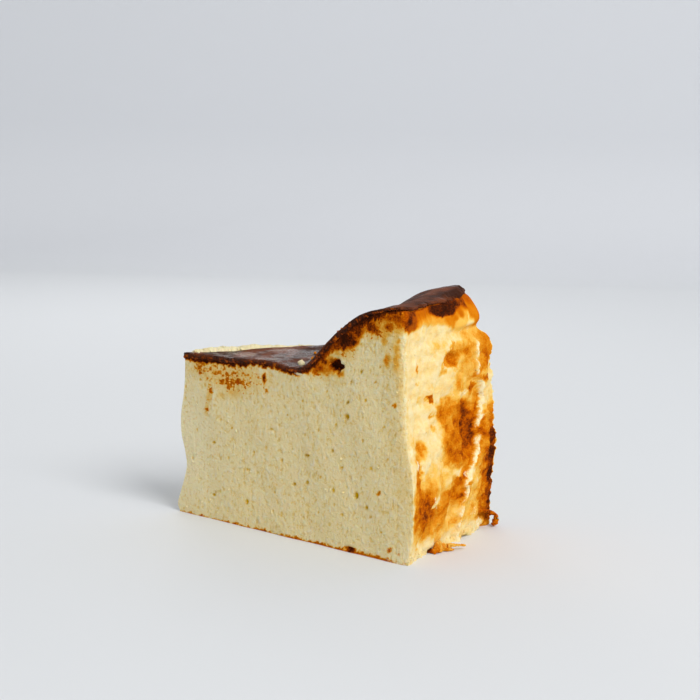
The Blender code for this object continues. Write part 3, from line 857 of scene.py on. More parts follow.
# The rear of its outer end: how much further it reaches, hangs down and is thicker, and where
# that starts and over which lengths it grows.
CRUST_REAR_END = 1.0
CRUST_REAR_DROOP = 1.0
CRUST_REAR_DROOP_GRAIN = (1.0, 0.6)
CRUST_REAR_THICKER = 0.6
CRUST_REAR_START = (66.0, -2.0)
CRUST_REAR_FADE = (8.0, 16.0)

# Shine of its top, in the plan.
GLOSS_BASE = 0.3
GLOSS_PATCHES = patch_rows(
    (22, 0, 24, 12, 0.38), (40, -3, 8, 10, 0.9), (28, 3, 9, 2, 0.6), (14, -1.5, 7, 1, 0.5),
    (70, 5, 20, 30, 0.04),
)
GLOSS_WARP = ((6.0, 5.0), (4.0, 3.0))  # (length, how far) along X and along Y

CRUST_CRUMBS = 0.6
CRUST_CRUMBS_EDGE = 0.3  # they lie where the edge attribute is more than this
# At the rear of its outer end there are this many times more, from this place on.
CRUST_REAR_CRUMBS = 3
CRUST_REAR_CRUMBS_START = (70.0, 6.0)
CRUST_REAR_CRUMBS_FADE = (6.0, 8.0)


def crust_ring():
    """The crust's outline in the plan, and the way inwards at each point."""
    plan, _ = column_tops(crust_level)
    side = np.repeat([-1, 0, 1], [FRONT_COLUMNS, OUTER_COLUMNS, REAR_COLUMNS])
    reach = np.hypot(*plan.T)
    outward = plan / np.maximum(reach, 1.0)[:, None]
    outward[side < 0] = (-math.sin(HALF_WEDGE), -math.cos(HALF_WEDGE))
    outward[side > 0] = (-math.sin(HALF_WEDGE), math.cos(HALF_WEDGE))
    shifts = np.arange(-CORNER_COLUMNS, CORNER_COLUMNS + 1)
    outward = np.mean([np.roll(outward, shift, axis=0) for shift in shifts], axis=0)
    jag = sum(lumps(*plan.T, 61.0, length, far) for length, far in CRUST_JAG)
    outer_jag = sum(lumps(*plan.T, 67.0, length, far) for length, far in CRUST_OUTER_JAG)
    shift = np.where(side == 0, CRUST_OVERHANG + outer_jag, jag)
    shift = shift - np.where(side > 0, LIP_ROOM * np.minimum(drawn_up(reach), 1.0), 0.0)
    rear_end = CRUST_REAR_END * from_start(plan, CRUST_REAR_START, CRUST_REAR_FADE, 1)
    shift = shift + np.where(side == 0, rear_end, 0.0)
    narrow = fade(reach, CRUST_NARROW)[:, None]
    inward = -outward * (CRUST_TIP_INSET + (1 - CRUST_TIP_INSET) * narrow)
    return plan + outward * shift[:, None] * narrow, inward


def from_start(plan, start, widths, axis):
    """0 up to a start along an axis of the plan, growing to 1 over that axis's width."""
    return fade(plan[:, axis] - start[axis], widths[axis])


def crust_piece(material):
    """The crust: a wall round its edge, its wrinkled top and its plain underside."""
    ring, inward = crust_ring()
    inset, down = np.array(CRUST_EDGE)[::-1].T
    columns, rows = len(ring), len(down)
    rear_end = (from_start(ring, CRUST_REAR_START, CRUST_REAR_FADE, 1)
                * from_start(ring, CRUST_REAR_START, CRUST_REAR_FADE, 0))
    thick = curve(CRUST_THICK, np.hypot(*ring.T)) + lumps(*ring.T, 71.0, *CRUST_THICK_GRAIN)
    thick += CRUST_REAR_THICKER * rear_end
    droop = CRUST_REAR_DROOP + lumps(*ring.T, 79.0, *CRUST_REAR_DROOP_GRAIN)
    level = crust_level(*ring.T) - rear_end * droop
    plan = ring[:, None, :] + inward[:, None, :] * inset[None, :, None]
    height = level[:, None] - thick[:, None] * down[None, :]
    wall = np.concatenate([plan, height[..., None]], -1)

    top = cap_points(wall[:, -1, :2], *CRUST_TOP_CAP)
    base = cap_points(wall[:, 0, :2], *CRUST_BASE_CAP)
    wrinkles = sum(lumps(*top.T, 73.0, length, rise) for length, rise in CRUST_WRINKLE)
    start = columns * rows
    faces = tube_faces(columns, rows)
    faces += cap_faces(wall, rows - 1, top, start, True)
    faces += cap_faces(wall, 0, base, start + len(top), False)
    points = np.concatenate([
        wall.reshape(-1, 3), np.column_stack([top, crust_level(*top.T) + wrinkles]),
        np.column_stack([base, crust_level(*base.T) - curve(CRUST_THICK, np.hypot(*base.T))])])

    edge = np.concatenate([np.tile(down, columns), np.zeros(len(top)), np.ones(len(base))])
    edge[rows * FRONT_COLUMNS:rows * (FRONT_COLUMNS + OUTER_COLUMNS)] *= CRUST_OUTER_RUST
    at, up = (points[:, axis] + lumps(*points.T, *GLOSS_WARP[axis]) for axis in (0, 1))
    gloss = painted(np.full(len(points), GLOSS_BASE), GLOSS_PATCHES, at, up)
    crumbs = np.zeros(len(points))
    crumbs[:rows * (FRONT_COLUMNS + OUTER_COLUMNS)] = CRUST_CRUMBS
    rear = (CRUST_REAR_CRUMBS
            * from_start(points, CRUST_REAR_CRUMBS_START, CRUST_REAR_CRUMBS_FADE, 1)
            * from_start(points, CRUST_REAR_CRUMBS_START, CRUST_REAR_CRUMBS_FADE, 0))
    crumbs *= 1 + rear
    crumbs *= fade(edge, CRUST_CRUMBS_EDGE)
    return new_piece("crust_slab", points, faces, material,
                     {"edge": edge, "gloss": gloss, "crumbs": crumbs})


# Flakes of baked skin at the foot, as rings of (along, height, how far out, half-width,
# half-thickness, bake).
SKIN_FLAKES = {
    # The dark bake of foot_flake's first two rings is painted shade of the undercut at its root.
    "foot_flake": ((15.2, 0.5, -0.2, 0.5, 0.4, 0.86), (15.2, 0.6, 2.0, 0.9, 0.7, 0.84),
                   (15.8, 1.0, 3.2, 1.1, 1.1, 0.5), (17.8, 1.3, 3.8, 1.1, 1.3, 0.33),
                   (19.6, 1.4, 4.2, 0.6, 0.6, 0.33)),
    "flake_upper_prong": ((18.8, 1.7, 4.0, 0.7, 0.6, 0.3), (20.6, 1.7, 5.0, 0.6, 0.45, 0.3),
                          (22.8, 1.1, 6.2, 0.25, 0.25, 0.36)),
    "flake_lower_prong": ((18.2, 0.8, 4.2, 0.7, 0.5, 0.4), (19.0, 0.6, 5.5, 0.5, 0.35, 0.36),
                          (19.8, 0.4, 6.7, 0.25, 0.25, 0.4)),
    "foot_curl": ((42.0, 6.2, 0.2, 0.7, 0.5, 0.56), (45.2, 5.6, 1.5, 0.9, 0.6, 0.7),
                  (47.8, 4.2, 2.9, 0.8, 0.6, 0.66), (48.4, 2.2, 3.5, 0.8, 0.6, 0.6),
                  (47.6, 0.7, 3.3, 0.8, 0.6, 0.7)),
}
FLAKE_SIDES = 14
FLAKE_RINGS = 30
FLAKE_GRAIN = ((1.3, 0.8), (0.5, 0.5))  # (length, share of the thickness) of its lumps
FLAKE_BAKE_GRAIN = (1.6, 0.16)  # (length, bake)
FLAKE_FLOOR = 0.05  # its lowest points lie this far above the floor


def swept(name, knots, material):
    """A thin lumpy strip along knots of (x, y, height, half-width, half-thickness, bake)."""
    at = np.linspace(0, len(knots) - 1, FLAKE_RINGS)
    x, y, z, width, thick, bake = (curve(list(enumerate(column)), at) for column in zip(*knots))
    centre = np.stack([x, y, z], -1)
    ahead = np.gradient(centre, axis=0)
    ahead /= np.linalg.norm(ahead, axis=1)[:, None]
    across = np.cross(ahead, [0.0, 0.0, 1.0])
    upright = np.linalg.norm(across, axis=1) < 0.2
    across[upright] = across[~upright][-1] if (~upright).any() else (0.0, 1.0, 0.0)
    across /= np.linalg.norm(across, axis=1)[:, None]
    up = np.cross(across, ahead)
    angle = np.arange(FLAKE_SIDES) / FLAKE_SIDES * math.tau
    ring = (across[:, None] * (np.cos(angle)[None, :] * width[:, None])[..., None]
            + up[:, None] * (np.sin(angle)[None, :] * thick[:, None])[..., None])
    points = centre[:, None] + ring
    for length, share in FLAKE_GRAIN:
        rough = lumps(*points.reshape(-1, 3).T, length, share).reshape(points.shape[:2])
        points += ring * rough[..., None]
    points[..., 2] = np.maximum(points[..., 2], FLAKE_FLOOR)
    this = np.arange((FLAKE_RINGS - 1) * FLAKE_SIDES).reshape(-1, FLAKE_SIDES)
    after = np.roll(this, -1, axis=1)
    faces = np.stack([this, after, after + FLAKE_SIDES, this + FLAKE_SIDES], -1)
    ends = [this[0, ::-1].tolist(), (this[-1] + FLAKE_SIDES).tolist()]
    flat_points = points.reshape(-1, 3)
    bake = np.repeat(bake, FLAKE_SIDES) + lumps(*flat_points.T, *FLAKE_BAKE_GRAIN)
    return new_piece(name, flat_points, faces.reshape(-1, 4).tolist() + ends, material,
                     {"bake": bake, "grain": np.ones(len(bake))})


# Crumbs that lie on the crust: (run along the front cut, how far behind it, half-size, bake).
LOOSE_CRUMBS = (
    (43.2, 2.8, 1, 0.03), (42.2, 4.6, 0.4, 0.05), (48.9, 0.5, 0.4, 0.5), (39, 14.5, 0.4, 0.5),
    (57.5, 0.8, 0.4, 0.6), (58.8, 0.6, 0.3, 0.5), (61, 1.2, 0.35, 0.6), (6.5, 0.4, 0.3, 0),
)
CRUMB_LEVEL = 0.6  # the height of a crumb's middle over the crust, in half-sizes
CRUMB_GRAIN = (1.1, 0.4)  # (length, height) of its lumps, in half-sizes


def loose_crumbs(material):
    """The crumbs that lie on the crust, as one piece."""
    points, faces, bake = [], [], []
    along = np.array([math.cos(HALF_WEDGE), -math.sin(HALF_WEDGE)])
    behind = np.array([math.sin(HALF_WEDGE), math.cos(HALF_WEDGE)])
    length, rise = CRUMB_GRAIN
    for run, inset, size, crumb_bake in LOOSE_CRUMBS:
        ball = bmesh.new()
        bmesh.ops.create_icosphere(ball, subdivisions=3, radius=size)
        shape = np.array([v.co for v in ball.verts])
        x, y = along * run + behind * inset
        middle = (x, y, float(crust_level(x, y)) + CRUMB_LEVEL * size)
        rough = 1 + lumps(*(shape + run).T, length * size, rise)
        faces += [[v.index + len(bake) for v in face.verts] for face in ball.faces]
        points.append(shape * rough[:, None] + middle)
        bake += [crumb_bake] * len(shape)
        ball.free()
    return new_piece("loose_crumbs", np.concatenate(points), faces, material,
                     {"bake": bake, "grain": np.ones(len(bake))})


def outer_place(along, height, out):
    """A point that stands `out` from the outer side."""
    x, y = outer_plan(np.array([along / OUTER_WIDTH]), np.array([float(height)]))[0]
    share = 1 + out / math.hypot(x, y)
    return x * share, y * share, height


# Nodes.


def feed(node, inputs):
    """Sets a node's inputs, each to a value or to a socket that is linked to it."""
    for key, value in inputs.items():
        if isinstance(value, bpy.types.NodeSocket):
            node.id_data.links.new(value, node.inputs[key])
        else:
            node.inputs[key].default_value = value


def add(tree, kind, inputs=None, **settings):
    """A node with its settings and inputs."""
    node = tree.nodes.new(kind)
    for name, value in settings.items():
        setattr(node, name, value)
    feed(node, inputs or {})
    return node


def made(tree, kind, inputs=None, output=0, **settings):
    """The output socket of a new node. Its tree may be given by one of the tree's sockets."""
    if isinstance(tree, bpy.types.NodeSocket):
        tree = tree.id_data
    return add(tree, kind, inputs, **settings).outputs[output]


def maths(operation, *values, clamp=False):
    """Maths on numbers and sockets, of which at least one is a socket."""
    tree = next(value for value in values if isinstance(value, bpy.types.NodeSocket))
    return made(tree, "ShaderNodeMath", dict(enumerate(values)), operation=operation,
                use_clamp=clamp)


def plus(first, second, clamp=False):
    return maths("ADD", first, second, clamp=clamp)


def minus(first, second):
    return maths("SUBTRACT", first, second)


def times(first, second):
    return maths("MULTIPLY", first, second)


def divided(first, second):
    return maths("DIVIDE", first, second)


def greater(first, second):
    return maths("MAXIMUM", first, second)


def vector_maths(operation, vector, other):
    """Maths on two vectors, or the "SCALE" of one."""
    key = "Scale" if operation == "SCALE" else 1
    return made(vector, "ShaderNodeVectorMath", {0: vector, key: other}, operation=operation)


def remap(value, low, high, to_low=0.0, to_high=1.0):
    """Brings `low` to `to_low` and `high` to `to_high`, smoothly and held level past both."""
    return made(value, "ShaderNodeMapRange", {0: value, 1: low, 2: high, 3: to_low, 4: to_high},
                interpolation_type="SMOOTHSTEP")


def mix_colour(tree, share, first, second, blend="MIX"):
    """Mixes two colours, each a socket or its red, green and blue."""
    first, second = (colour if isinstance(colour, bpy.types.NodeSocket) else (*colour, 1.0)
                     for colour in (first, second))
    return made(tree, "ShaderNodeMix", {0: share, 6: first, 7: second}, 2,
                data_type="RGBA", blend_type=blend)


def attribute(tree, name):
    return made(tree, "ShaderNodeAttribute", output="Fac", attribute_name=name)


def grain(tree, sizes, detail=2.0, rough=0.5):
    """Noise around 0.5, with grains of those sizes along x, y and z in millimetres."""
    place = made(tree, "ShaderNodeTexCoord", output="Object")
    scale = tuple(1 / (size * MM) for size in sizes)
    counted = made(tree, "ShaderNodeMapping", {"Vector": place, "Scale": scale})
    return made(tree, "ShaderNodeTexNoise", {"Vector": counted, "Scale": 1.0, "Detail": detail,
                                             "Roughness": rough}, "Fac")


def masked(value, mask):
    """Noise brought to 0 in the middle and faded out by the mask."""
    return times(minus(value, 0.5), mask)


def ramp(value, stops):
    """A colour for each value, from stops of (place, colour)."""
    node = add(value.id_data, "ShaderNodeValToRGB", {0: value})
    elements = node.color_ramp.elements
    while len(elements) < len(stops):
        elements.new(0.5)
    for element, (place, colour) in zip(elements, stops):
        element.position = place
        element.color = (*colour, 1.0)
    return node.outputs[0]


def new_material(name):
    material = bpy.data.materials.new(name)
    material.use_nodes = True
    tree = material.node_tree
    return material, tree, tree.nodes["Principled BSDF"]


def bumped(layers):
    """A normal with bump layers on it: (height socket, distance in millimetres)."""
    below = {}
    for height, distance in layers:
        normal = made(height, "ShaderNodeBump", {
            "Height": height, "Distance": distance * MM, "Strength": 1.0, **below})
        below = {"Normal": normal}
    return normal


def cream_material(look):
    """Baked cheesecake: pale cream that browns with the `bake` attribute."""
    material, tree, surface = new_material(CREAM)
    bake, speck, pore, pale, cut, torn = (
        attribute(tree, name) for name in ("bake", "speck", "pore", "pale", "cut", "grain"))
    mottle = masked(grain(tree, (1.8, 2.9, 1.7), 3.0, 0.55), remap(bake, 0.05, 0.5, 0.14, 0.5))
    speckle = masked(grain(tree, (0.5, 0.8, 0.45), 2.0, 0.6), remap(bake, 0.1, 0.6, 0.12, 0.6))
    uneven = remap(greater(times(torn, 0.6), cut), 0.0, 1.0, 0.15, 1.0)
    shade = plus(bake, times(plus(mottle, speckle), uneven))
    # Brown dots, fine ones and larger ones, denser where `speck` says.
    clumps = masked(grain(tree, (2.6, 4.2, 2.0)), 0.6)
    for size, level, deepest in ((0.9, 0.81, 0.7), (1.6, 0.82, 0.6)):
        limit = minus(level, times(speck, plus(clumps, 0.27)))
        over = minus(grain(tree, (size, 1.6 * size, 0.85 * size)), limit)
        shade = greater(shade, remap(over, -0.1, 0.15, 0.0, deepest))
    baked = ramp(shade, (
        (0.0, look.cream), (0.12, look.straw), (0.25, look.honey), (0.4, look.golden),
        (0.55, look.orange), (0.7, look.orange_brown), (0.8, look.brown),
        (0.9, look.dark_brown), (1.0, look.burnt)))
    # Tints of a cut's grain, dragged upwards by the knife; the hollow tint is partly painted shade.
    drag = grain(tree, (0.75, 1.2, 1.7), 3.0, 0.6)
    curds = grain(tree, (0.8, 1.3, 0.8), 4.0, 0.7)
    clots = grain(tree, (1.7, 2.7, 1.9), 2.0, 0.5)
    fleck = plus(plus(times(drag, 0.25), times(curds, 0.45)), times(clots, 0.3))
    tint = ramp(fleck, ((0.405, look.hollow_tone_and_shade), (0.47, look.plain), (0.53, look.plain),
                        (0.585, look.fleck)))
    baked = mix_colour(tree, cut, baked, mix_colour(tree, 1.0, baked, tint, "MULTIPLY"))
    # Torn cream with frayed ends, and painted shade inside the pores.
    frayed = remap(plus(pale, minus(curds, 0.5)), 0.3, 0.7)
    baked = mix_colour(tree, frayed, baked, look.pale)
    pore_shade = times(pore, remap(bake, 0.15, 0.45, 1.0, 0.0))
    baked = mix_colour(tree, pore_shade, baked, look.pore)
    fine = grain(tree, (0.45, 0.7, 0.45), 3.0, 0.6)
    feed(surface, {
        "Base Color": baked, "Roughness": look.roughness, "Specular IOR Level": 0.01,
        "Subsurface Weight": look.subsurface, "Subsurface Radius": (1.0, 0.55, 0.22),
        "Subsurface Scale": 1.2 * MM,
        "Normal": bumped(((masked(clots, cut), 0.6), (masked(drag, cut), 0.6),
                          (masked(curds, cut), 0.6), (masked(fine, torn), 0.35)))})
    return material


def crust_material(look):
    """Burnt crust: nearly black and shiny on top, rust-brown crumb at its broken edge."""
    material, tree, surface = new_material("crust_caramel")
    patches = grain(tree, (6.0, 9.0, 6.0), 3.0, 0.55)
    top = mix_colour(tree, remap(patches, 0.35, 0.65), look.crust_dark, look.crust_light)
    crumb = grain(tree, (0.7, 1.1, 0.6), 3.0, 0.6)
    clump = grain(tree, (2.0, 3.2, 1.3))
    rust = ramp(times(plus(crumb, clump), 0.5), (
        (0.44, look.crust_dark), (0.51, look.dark_brown), (0.56, look.brown),
        (0.6, look.orange_brown), (0.68, look.orange)))
    side = remap(plus(attribute(tree, "edge"), minus(crumb, 0.5)), 0.15, 0.6)
    streaks = masked(grain(tree, (8.0, 4.0, 4.0), 4.0, 0.62), look.crust_streaks)
    gloss = plus(attribute(tree, "gloss"), streaks)
    rough = plus(remap(gloss, 0.0, 1.0, 0.8, look.crust_gloss), times(side, 0.5), clamp=True)
    wrinkles = grain(tree, (1.2, 1.9, 1.2), 5.0, 0.7)
    feed(surface, {
        "Base Color": mix_colour(tree, side, top, rust), "Roughness": rough,
        "Specular IOR Level": 0.2, "Specular Tint": (*look.crust_sheen, 1.0),
        "Normal": bumped(((wrinkles, 0.35), (times(crumb, side), 0.6)))})
    return material


def floor_material(look):
    """A matt floor that turns to another grey at the backdrop."""
    material, tree, surface = new_material("pale_floor")
    place = made(tree, "ShaderNodeTexCoord", output="Object")
    depth = made(tree, "ShaderNodeSeparateXYZ", {0: place}, "Y")
    back = remap(depth, FLOOR_DEPTH - 0.02, FLOOR_DEPTH + 0.05)
    feed(surface, {"Base Color": mix_colour(tree, back, look.floor, look.backdrop),
                   "Roughness": 0.7, "Specular IOR Level": 0.2})
    return material


def tree_with(name, **sockets):
    """A Geometry Nodes tree with those inputs: (tree, its input sockets by name)."""
    tree = bpy.data.node_groups.new(name, "GeometryNodeTree")
    tree.is_modifier = True
    new_socket = tree.interface.new_socket
    new_socket("Geometry", in_out="OUTPUT", socket_type="NodeSocketGeometry")
    new_socket("Geometry", in_out="INPUT", socket_type="NodeSocketGeometry")
    for label, kind in sockets.items():
        new_socket(label, in_out="INPUT", socket_type="NodeSocket" + kind)
    return tree, tree.nodes.new("NodeGroupInput").outputs


def end_tree(tree, shape, material):
    """Realizes what the tree made and gives it its material."""
    real = made(tree, "GeometryNodeRealizeInstances", {0: shape})
    done = made(tree, "GeometryNodeSetMaterial", {"Geometry": real, "Material": material})
    add(tree, "NodeGroupOutput", {0: done})
    return tree


def named(tree, name):
    return made(tree, "GeometryNodeInputNamedAttribute", {"Name": name}, data_type="FLOAT")


def pores_tree(material):
    """Small pores, drawn out upwards by the knife, dented into the cuts, with painted shade stored
    in their `pore` attribute.
    """
    tree, given = tree_with("open_pores", Spacing="Float", Depth="Float", Stretch="Float",
                            Width="Float", Seed="Float")
    upright = made(tree, "ShaderNodeCombineXYZ", {
        0: 1.0, 1: 1.0, 2: divided(1.0, given["Stretch"])})
    scaled = vector_maths("MULTIPLY", made(tree, "GeometryNodeInputPosition"), upright)
    counted = vector_maths("SCALE", scaled, divided(1.0, given["Spacing"]))
    seeded = vector_maths("ADD", counted, given["Seed"])
    cells = add(tree, "ShaderNodeTexVoronoi", {"Vector": seeded, "Scale": 1.0}).outputs
    lot = made(tree, "ShaderNodeSeparateXYZ", {0: cells["Color"]})
    size = times(given["Width"], maths("POWER", lot, 2.0))
    dent = remap(divided(cells["Distance"], size), 0.4, 1.0, 1.0, 0.0)
    dent = times(dent, named(tree, "cut"))
    deep = times(dent, times(given["Depth"], lot))
    inward = vector_maths("SCALE", made(tree, "GeometryNodeInputNormal"), times(deep, -1.0))
    shape = made(tree, "GeometryNodeSetPosition", {"Geometry": given[0], "Offset": inward})
    # painted shade in each small pore, darker in the larger ones
    tone = plus(times(lot, 0.5), 0.15)
    shadow = greater(named(tree, "pore"), times(dent, tone))
    shape = made(tree, "GeometryNodeStoreNamedAttribute", {
        "Geometry": shape, "Name": "pore", "Value": shadow}, data_type="FLOAT", domain="POINT")
    return end_tree(tree, shape, material)


def crumbs_tree(material):
    """Crumbs strewn over a piece where its `crumbs` attribute says."""
    tree, given = tree_with("strewn_crumbs", Density="Float", Smallest="Float", Largest="Float",
                            Raggedness="Float", Seed="Int")
    random = "FunctionNodeRandomValue"
    points = made(tree, "GeometryNodeDistributePointsOnFaces", {
        "Mesh": given[0], "Density": times(named(tree, "crumbs"), given["Density"]),
        "Seed": given["Seed"]})
    lump = made(tree, "GeometryNodeMeshUVSphere", {"Segments": 7, "Rings": 5, "Radius": 1.0})
    turn = made(tree, random, {"Max": (math.tau, math.tau, math.tau), "Seed": given["Seed"]},
                data_type="FLOAT_VECTOR")
    size = made(tree, random, {2: given["Smallest"], 3: given["Largest"], "Seed": 1}, 1,
                data_type="FLOAT")
    squash = made(tree, random, {"Min": (0.6, 0.6, 0.5), "Max": (1.3, 1.0, 0.8), "Seed": 2},
                  data_type="FLOAT_VECTOR")
    strewn = made(tree, "GeometryNodeInstanceOnPoints", {
        "Points": points, "Instance": lump, "Rotation": turn,
        "Scale": vector_maths("SCALE", squash, size)})
    real = made(tree, "GeometryNodeRealizeInstances", {0: strewn})
    rough = made(tree, "ShaderNodeTexNoise", {
        "Vector": made(tree, "GeometryNodeInputPosition"), "Scale": 1.0 / MM, "Detail": 1.0},
        "Color")
    centred = vector_maths("SUBTRACT", rough, (0.5, 0.5, 0.5))
    shift = vector_maths("SCALE", centred, given["Raggedness"])
    ragged = made(tree, "GeometryNodeSetPosition", {"Geometry": real, "Offset": shift})
    return end_tree(tree, ragged, material)


def strewn_crumbs(name, piece, settings):
    """Crumbs on a piece, as a piece of their own."""
    crumbs = bpy.data.objects.new(name, piece.data.copy())
    bpy.context.scene.collection.objects.link(crumbs)
    bake_nodes(crumbs, crumbs_tree(piece.data.materials[0]), settings)
    return crumbs


def bake_nodes(piece, tree, settings):
    """Runs a tree on a piece and keeps the result as its plain mesh.

    Each input of the tree has the value of the setting of its name.
    """
    modifier = piece.modifiers.new(tree.name, "NODES")
    modifier.node_group = tree
    for item in tree.interface.items_tree:
        if item.in_out == "INPUT" and hasattr(item, "default_value"):
            value = getattr(settings, item.name.lower())
            modifier[item.identifier] = type(item.default_value)(value)
    graph = bpy.context.evaluated_depsgraph_get()
    mesh = bpy.data.meshes.new_from_object(
        piece.evaluated_get(graph), preserve_all_data_layers=True, depsgraph=graph)
    mesh.name = piece.name
    piece.modifiers.clear()
    piece.data = mesh


# Stage.
CAMERA_PLACE = (0.180344, -0.479630, 0.149722)
CAMERA_AIM = (-0.33325, 0.92462, -0.18444)
CAMERA_ROLL = 0.02642
CAMERA_LENS = 92.57
CAMERA_FILM = 36.0
CAMERA_NEAREST = 0.01
FLOOR_DEPTH = 0.5  # behind the slice, where the floor turns up into the backdrop
FLOOR_FRONT = -3.2
FLOOR_HALF_WIDTH = 3.2
BACKDROP_HEIGHT = 1.6
BACKDROP_TURN = 0.08
KEY_AIM = (0.648, -0.39, 0.655)
KEY_DISTANCE = 2.0
KEY_SIZE = 1.0
SLICE_MIDDLE = (0.0, 0.0, 0.03)
RIM_PLACE = (-0.26, 0.38, 0.24)
RIM_SIZE = (0.2, 0.12)


def floor_piece(material):
    """A floor that turns up into a backdrop, square to the camera."""
    turns = [(FLOOR_DEPTH + BACKDROP_TURN * math.sin(a), BACKDROP_TURN * (1 - math.cos(a)))
             for a in np.linspace(0, math.pi / 2, 13)]
    profile = [(FLOOR_FRONT, 0.0), *turns, (turns[-1][0], BACKDROP_HEIGHT)]
    points = [(x, y, z) for y, z in profile for x in (-FLOOR_HALF_WIDTH, FLOOR_HALF_WIDTH)]
    faces = [(2 * k, 2 * k + 1, 2 * k + 3, 2 * k + 2) for k in range(len(profile) - 1)]
    floor = new_object("floor", points, faces, material)
    floor.rotation_euler.z = math.atan2(-CAMERA_AIM[0], CAMERA_AIM[1])
    return floor


def place_camera():
    """The camera at the photograph's place, turned a little about its own aim."""
    aim = Vector(CAMERA_AIM).normalized()
    level = aim.cross(Vector((0, 0, 1))).normalized()
    above = level.cross(aim)
    right = level * math.cos(CAMERA_ROLL) + above * math.sin(CAMERA_ROLL)
    up = above * math.cos(CAMERA_ROLL) - level * math.sin(CAMERA_ROLL)
    data = bpy.data.cameras.new("camera")
    data.lens = CAMERA_LENS
    data.sensor_width = CAMERA_FILM
    data.clip_start = CAMERA_NEAREST
    camera = bpy.data.objects.new("camera", data)
    turned = Matrix((right, up, -aim)).transposed().to_4x4()
    camera.matrix_world = Matrix.Translation(CAMERA_PLACE) @ turned
    bpy.context.scene.collection.objects.link(camera)
    bpy.context.scene.camera = camera


def place_light(name, place, size, power, tint):
    """A soft light of that width and height, turned to the slice."""
    data = bpy.data.lights.new(name, "AREA")
    data.energy = power
    data.color = tint
    data.shape = "RECTANGLE"
    data.size, data.size_y = size
    light = bpy.data.objects.new(name, data)
    light.location = place
    light.rotation_euler = (Vector(place) - Vector(SLICE_MIDDLE)).to_track_quat("Z", "Y").to_euler()
    bpy.context.scene.collection.objects.link(light)


def light_world(look):
    """Even light from all round, and a plain view transform."""
    world = bpy.data.worlds.new("studio")
    world.use_nodes = True
    feed(world.node_tree.nodes["Background"],
         {"Color": (*look.sky, 1.0), "Strength": look.sky_strength})
    bpy.context.scene.world = world
    bpy.context.scene.view_settings.view_transform = "Standard"


# The add-on.


def colour(name, text, value):
    return FloatVectorProperty(name=name, description=text, default=value, subtype="COLOR",
                               size=3, min=0.0, max=1.0)


def number(name, text, value, **settings):
    return FloatProperty(name=name, description=text, default=value, **settings)


def share_of(name, text, value):
    return number(name, text, value, min=0.0, max=1.0, subtype="FACTOR")


def length_of(name, text, value):
    return number(name, text, value, unit="LENGTH")


class CHEESECAKE_PG_bake(PropertyGroup):
    cream: colour("Cream", "Unbaked cream", (0.935, 0.83, 0.555))
    straw: colour("Straw", "First tint of baking", (0.89, 0.7, 0.34))
    honey: colour("Honey", "Between straw and golden", (0.87, 0.51, 0.095))
    golden: colour("Golden", "Golden skin", (0.76, 0.3, 0.018))
    orange: colour("Orange", "Orange skin", (0.64, 0.18, 0.002))
    orange_brown: colour("Orange brown", "Well baked skin", (0.47, 0.092, 0.001))
    brown: colour("Brown", "Brown skin", (0.24, 0.042, 0.002))
    dark_brown: colour("Dark brown", "Nearly burnt skin", (0.105, 0.018, 0.003))
    burnt: colour("Burnt", "Burnt flakes", (0.04, 0.010, 0.004))
    pale: colour("Torn", "Whitest cream, freshly torn", (0.95, 0.83, 0.52))
    # the pore colour is painted shade inside the pores
    pore: colour("Pore", "Inside of a pore", (0.8, 0.47, 0.0))
    # darker tint of the cut's hollows: partly the cream's own tone, partly painted shade
    hollow_tone_and_shade: colour("Damp", "Tint of the hollows of a cut", (0.92, 0.76, 0.42))
    plain: colour("Plain", "Tint of the rest of a cut", (1.0, 0.935, 0.76))
    fleck: colour("Fleck", "Tint of the crumbs raised by the knife", (1.0, 1.0, 1.0))
    roughness: share_of("Roughness", "Of the cream", 0.75)
    subsurface: share_of("Translucence", "Light that passes through the cream", 0.18)
    crust_dark: colour("Dark crust", "Blackest parts of the crust", (0.044, 0.012, 0.005))
    crust_light: colour("Light crust", "Reddest parts of the crust", (0.165, 0.044, 0.016))
    crust_sheen: colour("Crust sheen", "Tint of the crust's shine", (1.0, 0.82, 0.72))
    crust_streaks: number("Crust streaks", "How uneven the crust's shine is", 4.0, min=0.0)
    crust_gloss: share_of("Crust gloss", "Least roughness of the crust", 0.12)


class CHEESECAKE_PG_pores(PropertyGroup):
    spacing: length_of("Spacing", "Between pores", 1.5 * MM)
    depth: length_of("Depth", "Of the deepest pores", 0.22 * MM)
    stretch: number("Stretch", "Height of a pore over its width", 1.4)
    width: share_of("Width", "Share of the spacing that the widest pores take", 0.4)
    seed: IntProperty(name="Seed", description="Another seed moves the pores", default=4)


class CHEESECAKE_PG_crumbs(PropertyGroup):
    density: number("Density", "Crumbs on a square metre of torn edge", 2.4e6, min=0.0)
    smallest: length_of("Smallest", "Half the size of the smallest crumbs", 0.15 * MM)
    largest: length_of("Largest", "Half the size of the largest crumbs", 0.45 * MM)
    raggedness: length_of("Raggedness", "How far a crumb is from round", 0.7 * MM)
    seed: IntProperty(name="Seed", description="Another seed strews them otherwise", default=3)


class CHEESECAKE_PG_stage(PropertyGroup):
    floor: colour("Floor", "Pale floor", (0.72, 0.735, 0.755))
    backdrop: colour("Backdrop", "Grey backdrop", (0.65, 0.665, 0.7))
    key_power: number("Key light", "Power of the soft key light", 30.0, unit="POWER")
    key_colour: colour("Key colour", "Colour of the key light", (1.0, 0.985, 0.96))
    rim_power: number("Rim light", "Power of the low light behind", 0.2, unit="POWER")
    sky: colour("Sky", "Colour of the light from all round", (0.95, 0.98, 1.0))
    sky_strength: number("Sky strength", "Of the light from all round", 0.49)


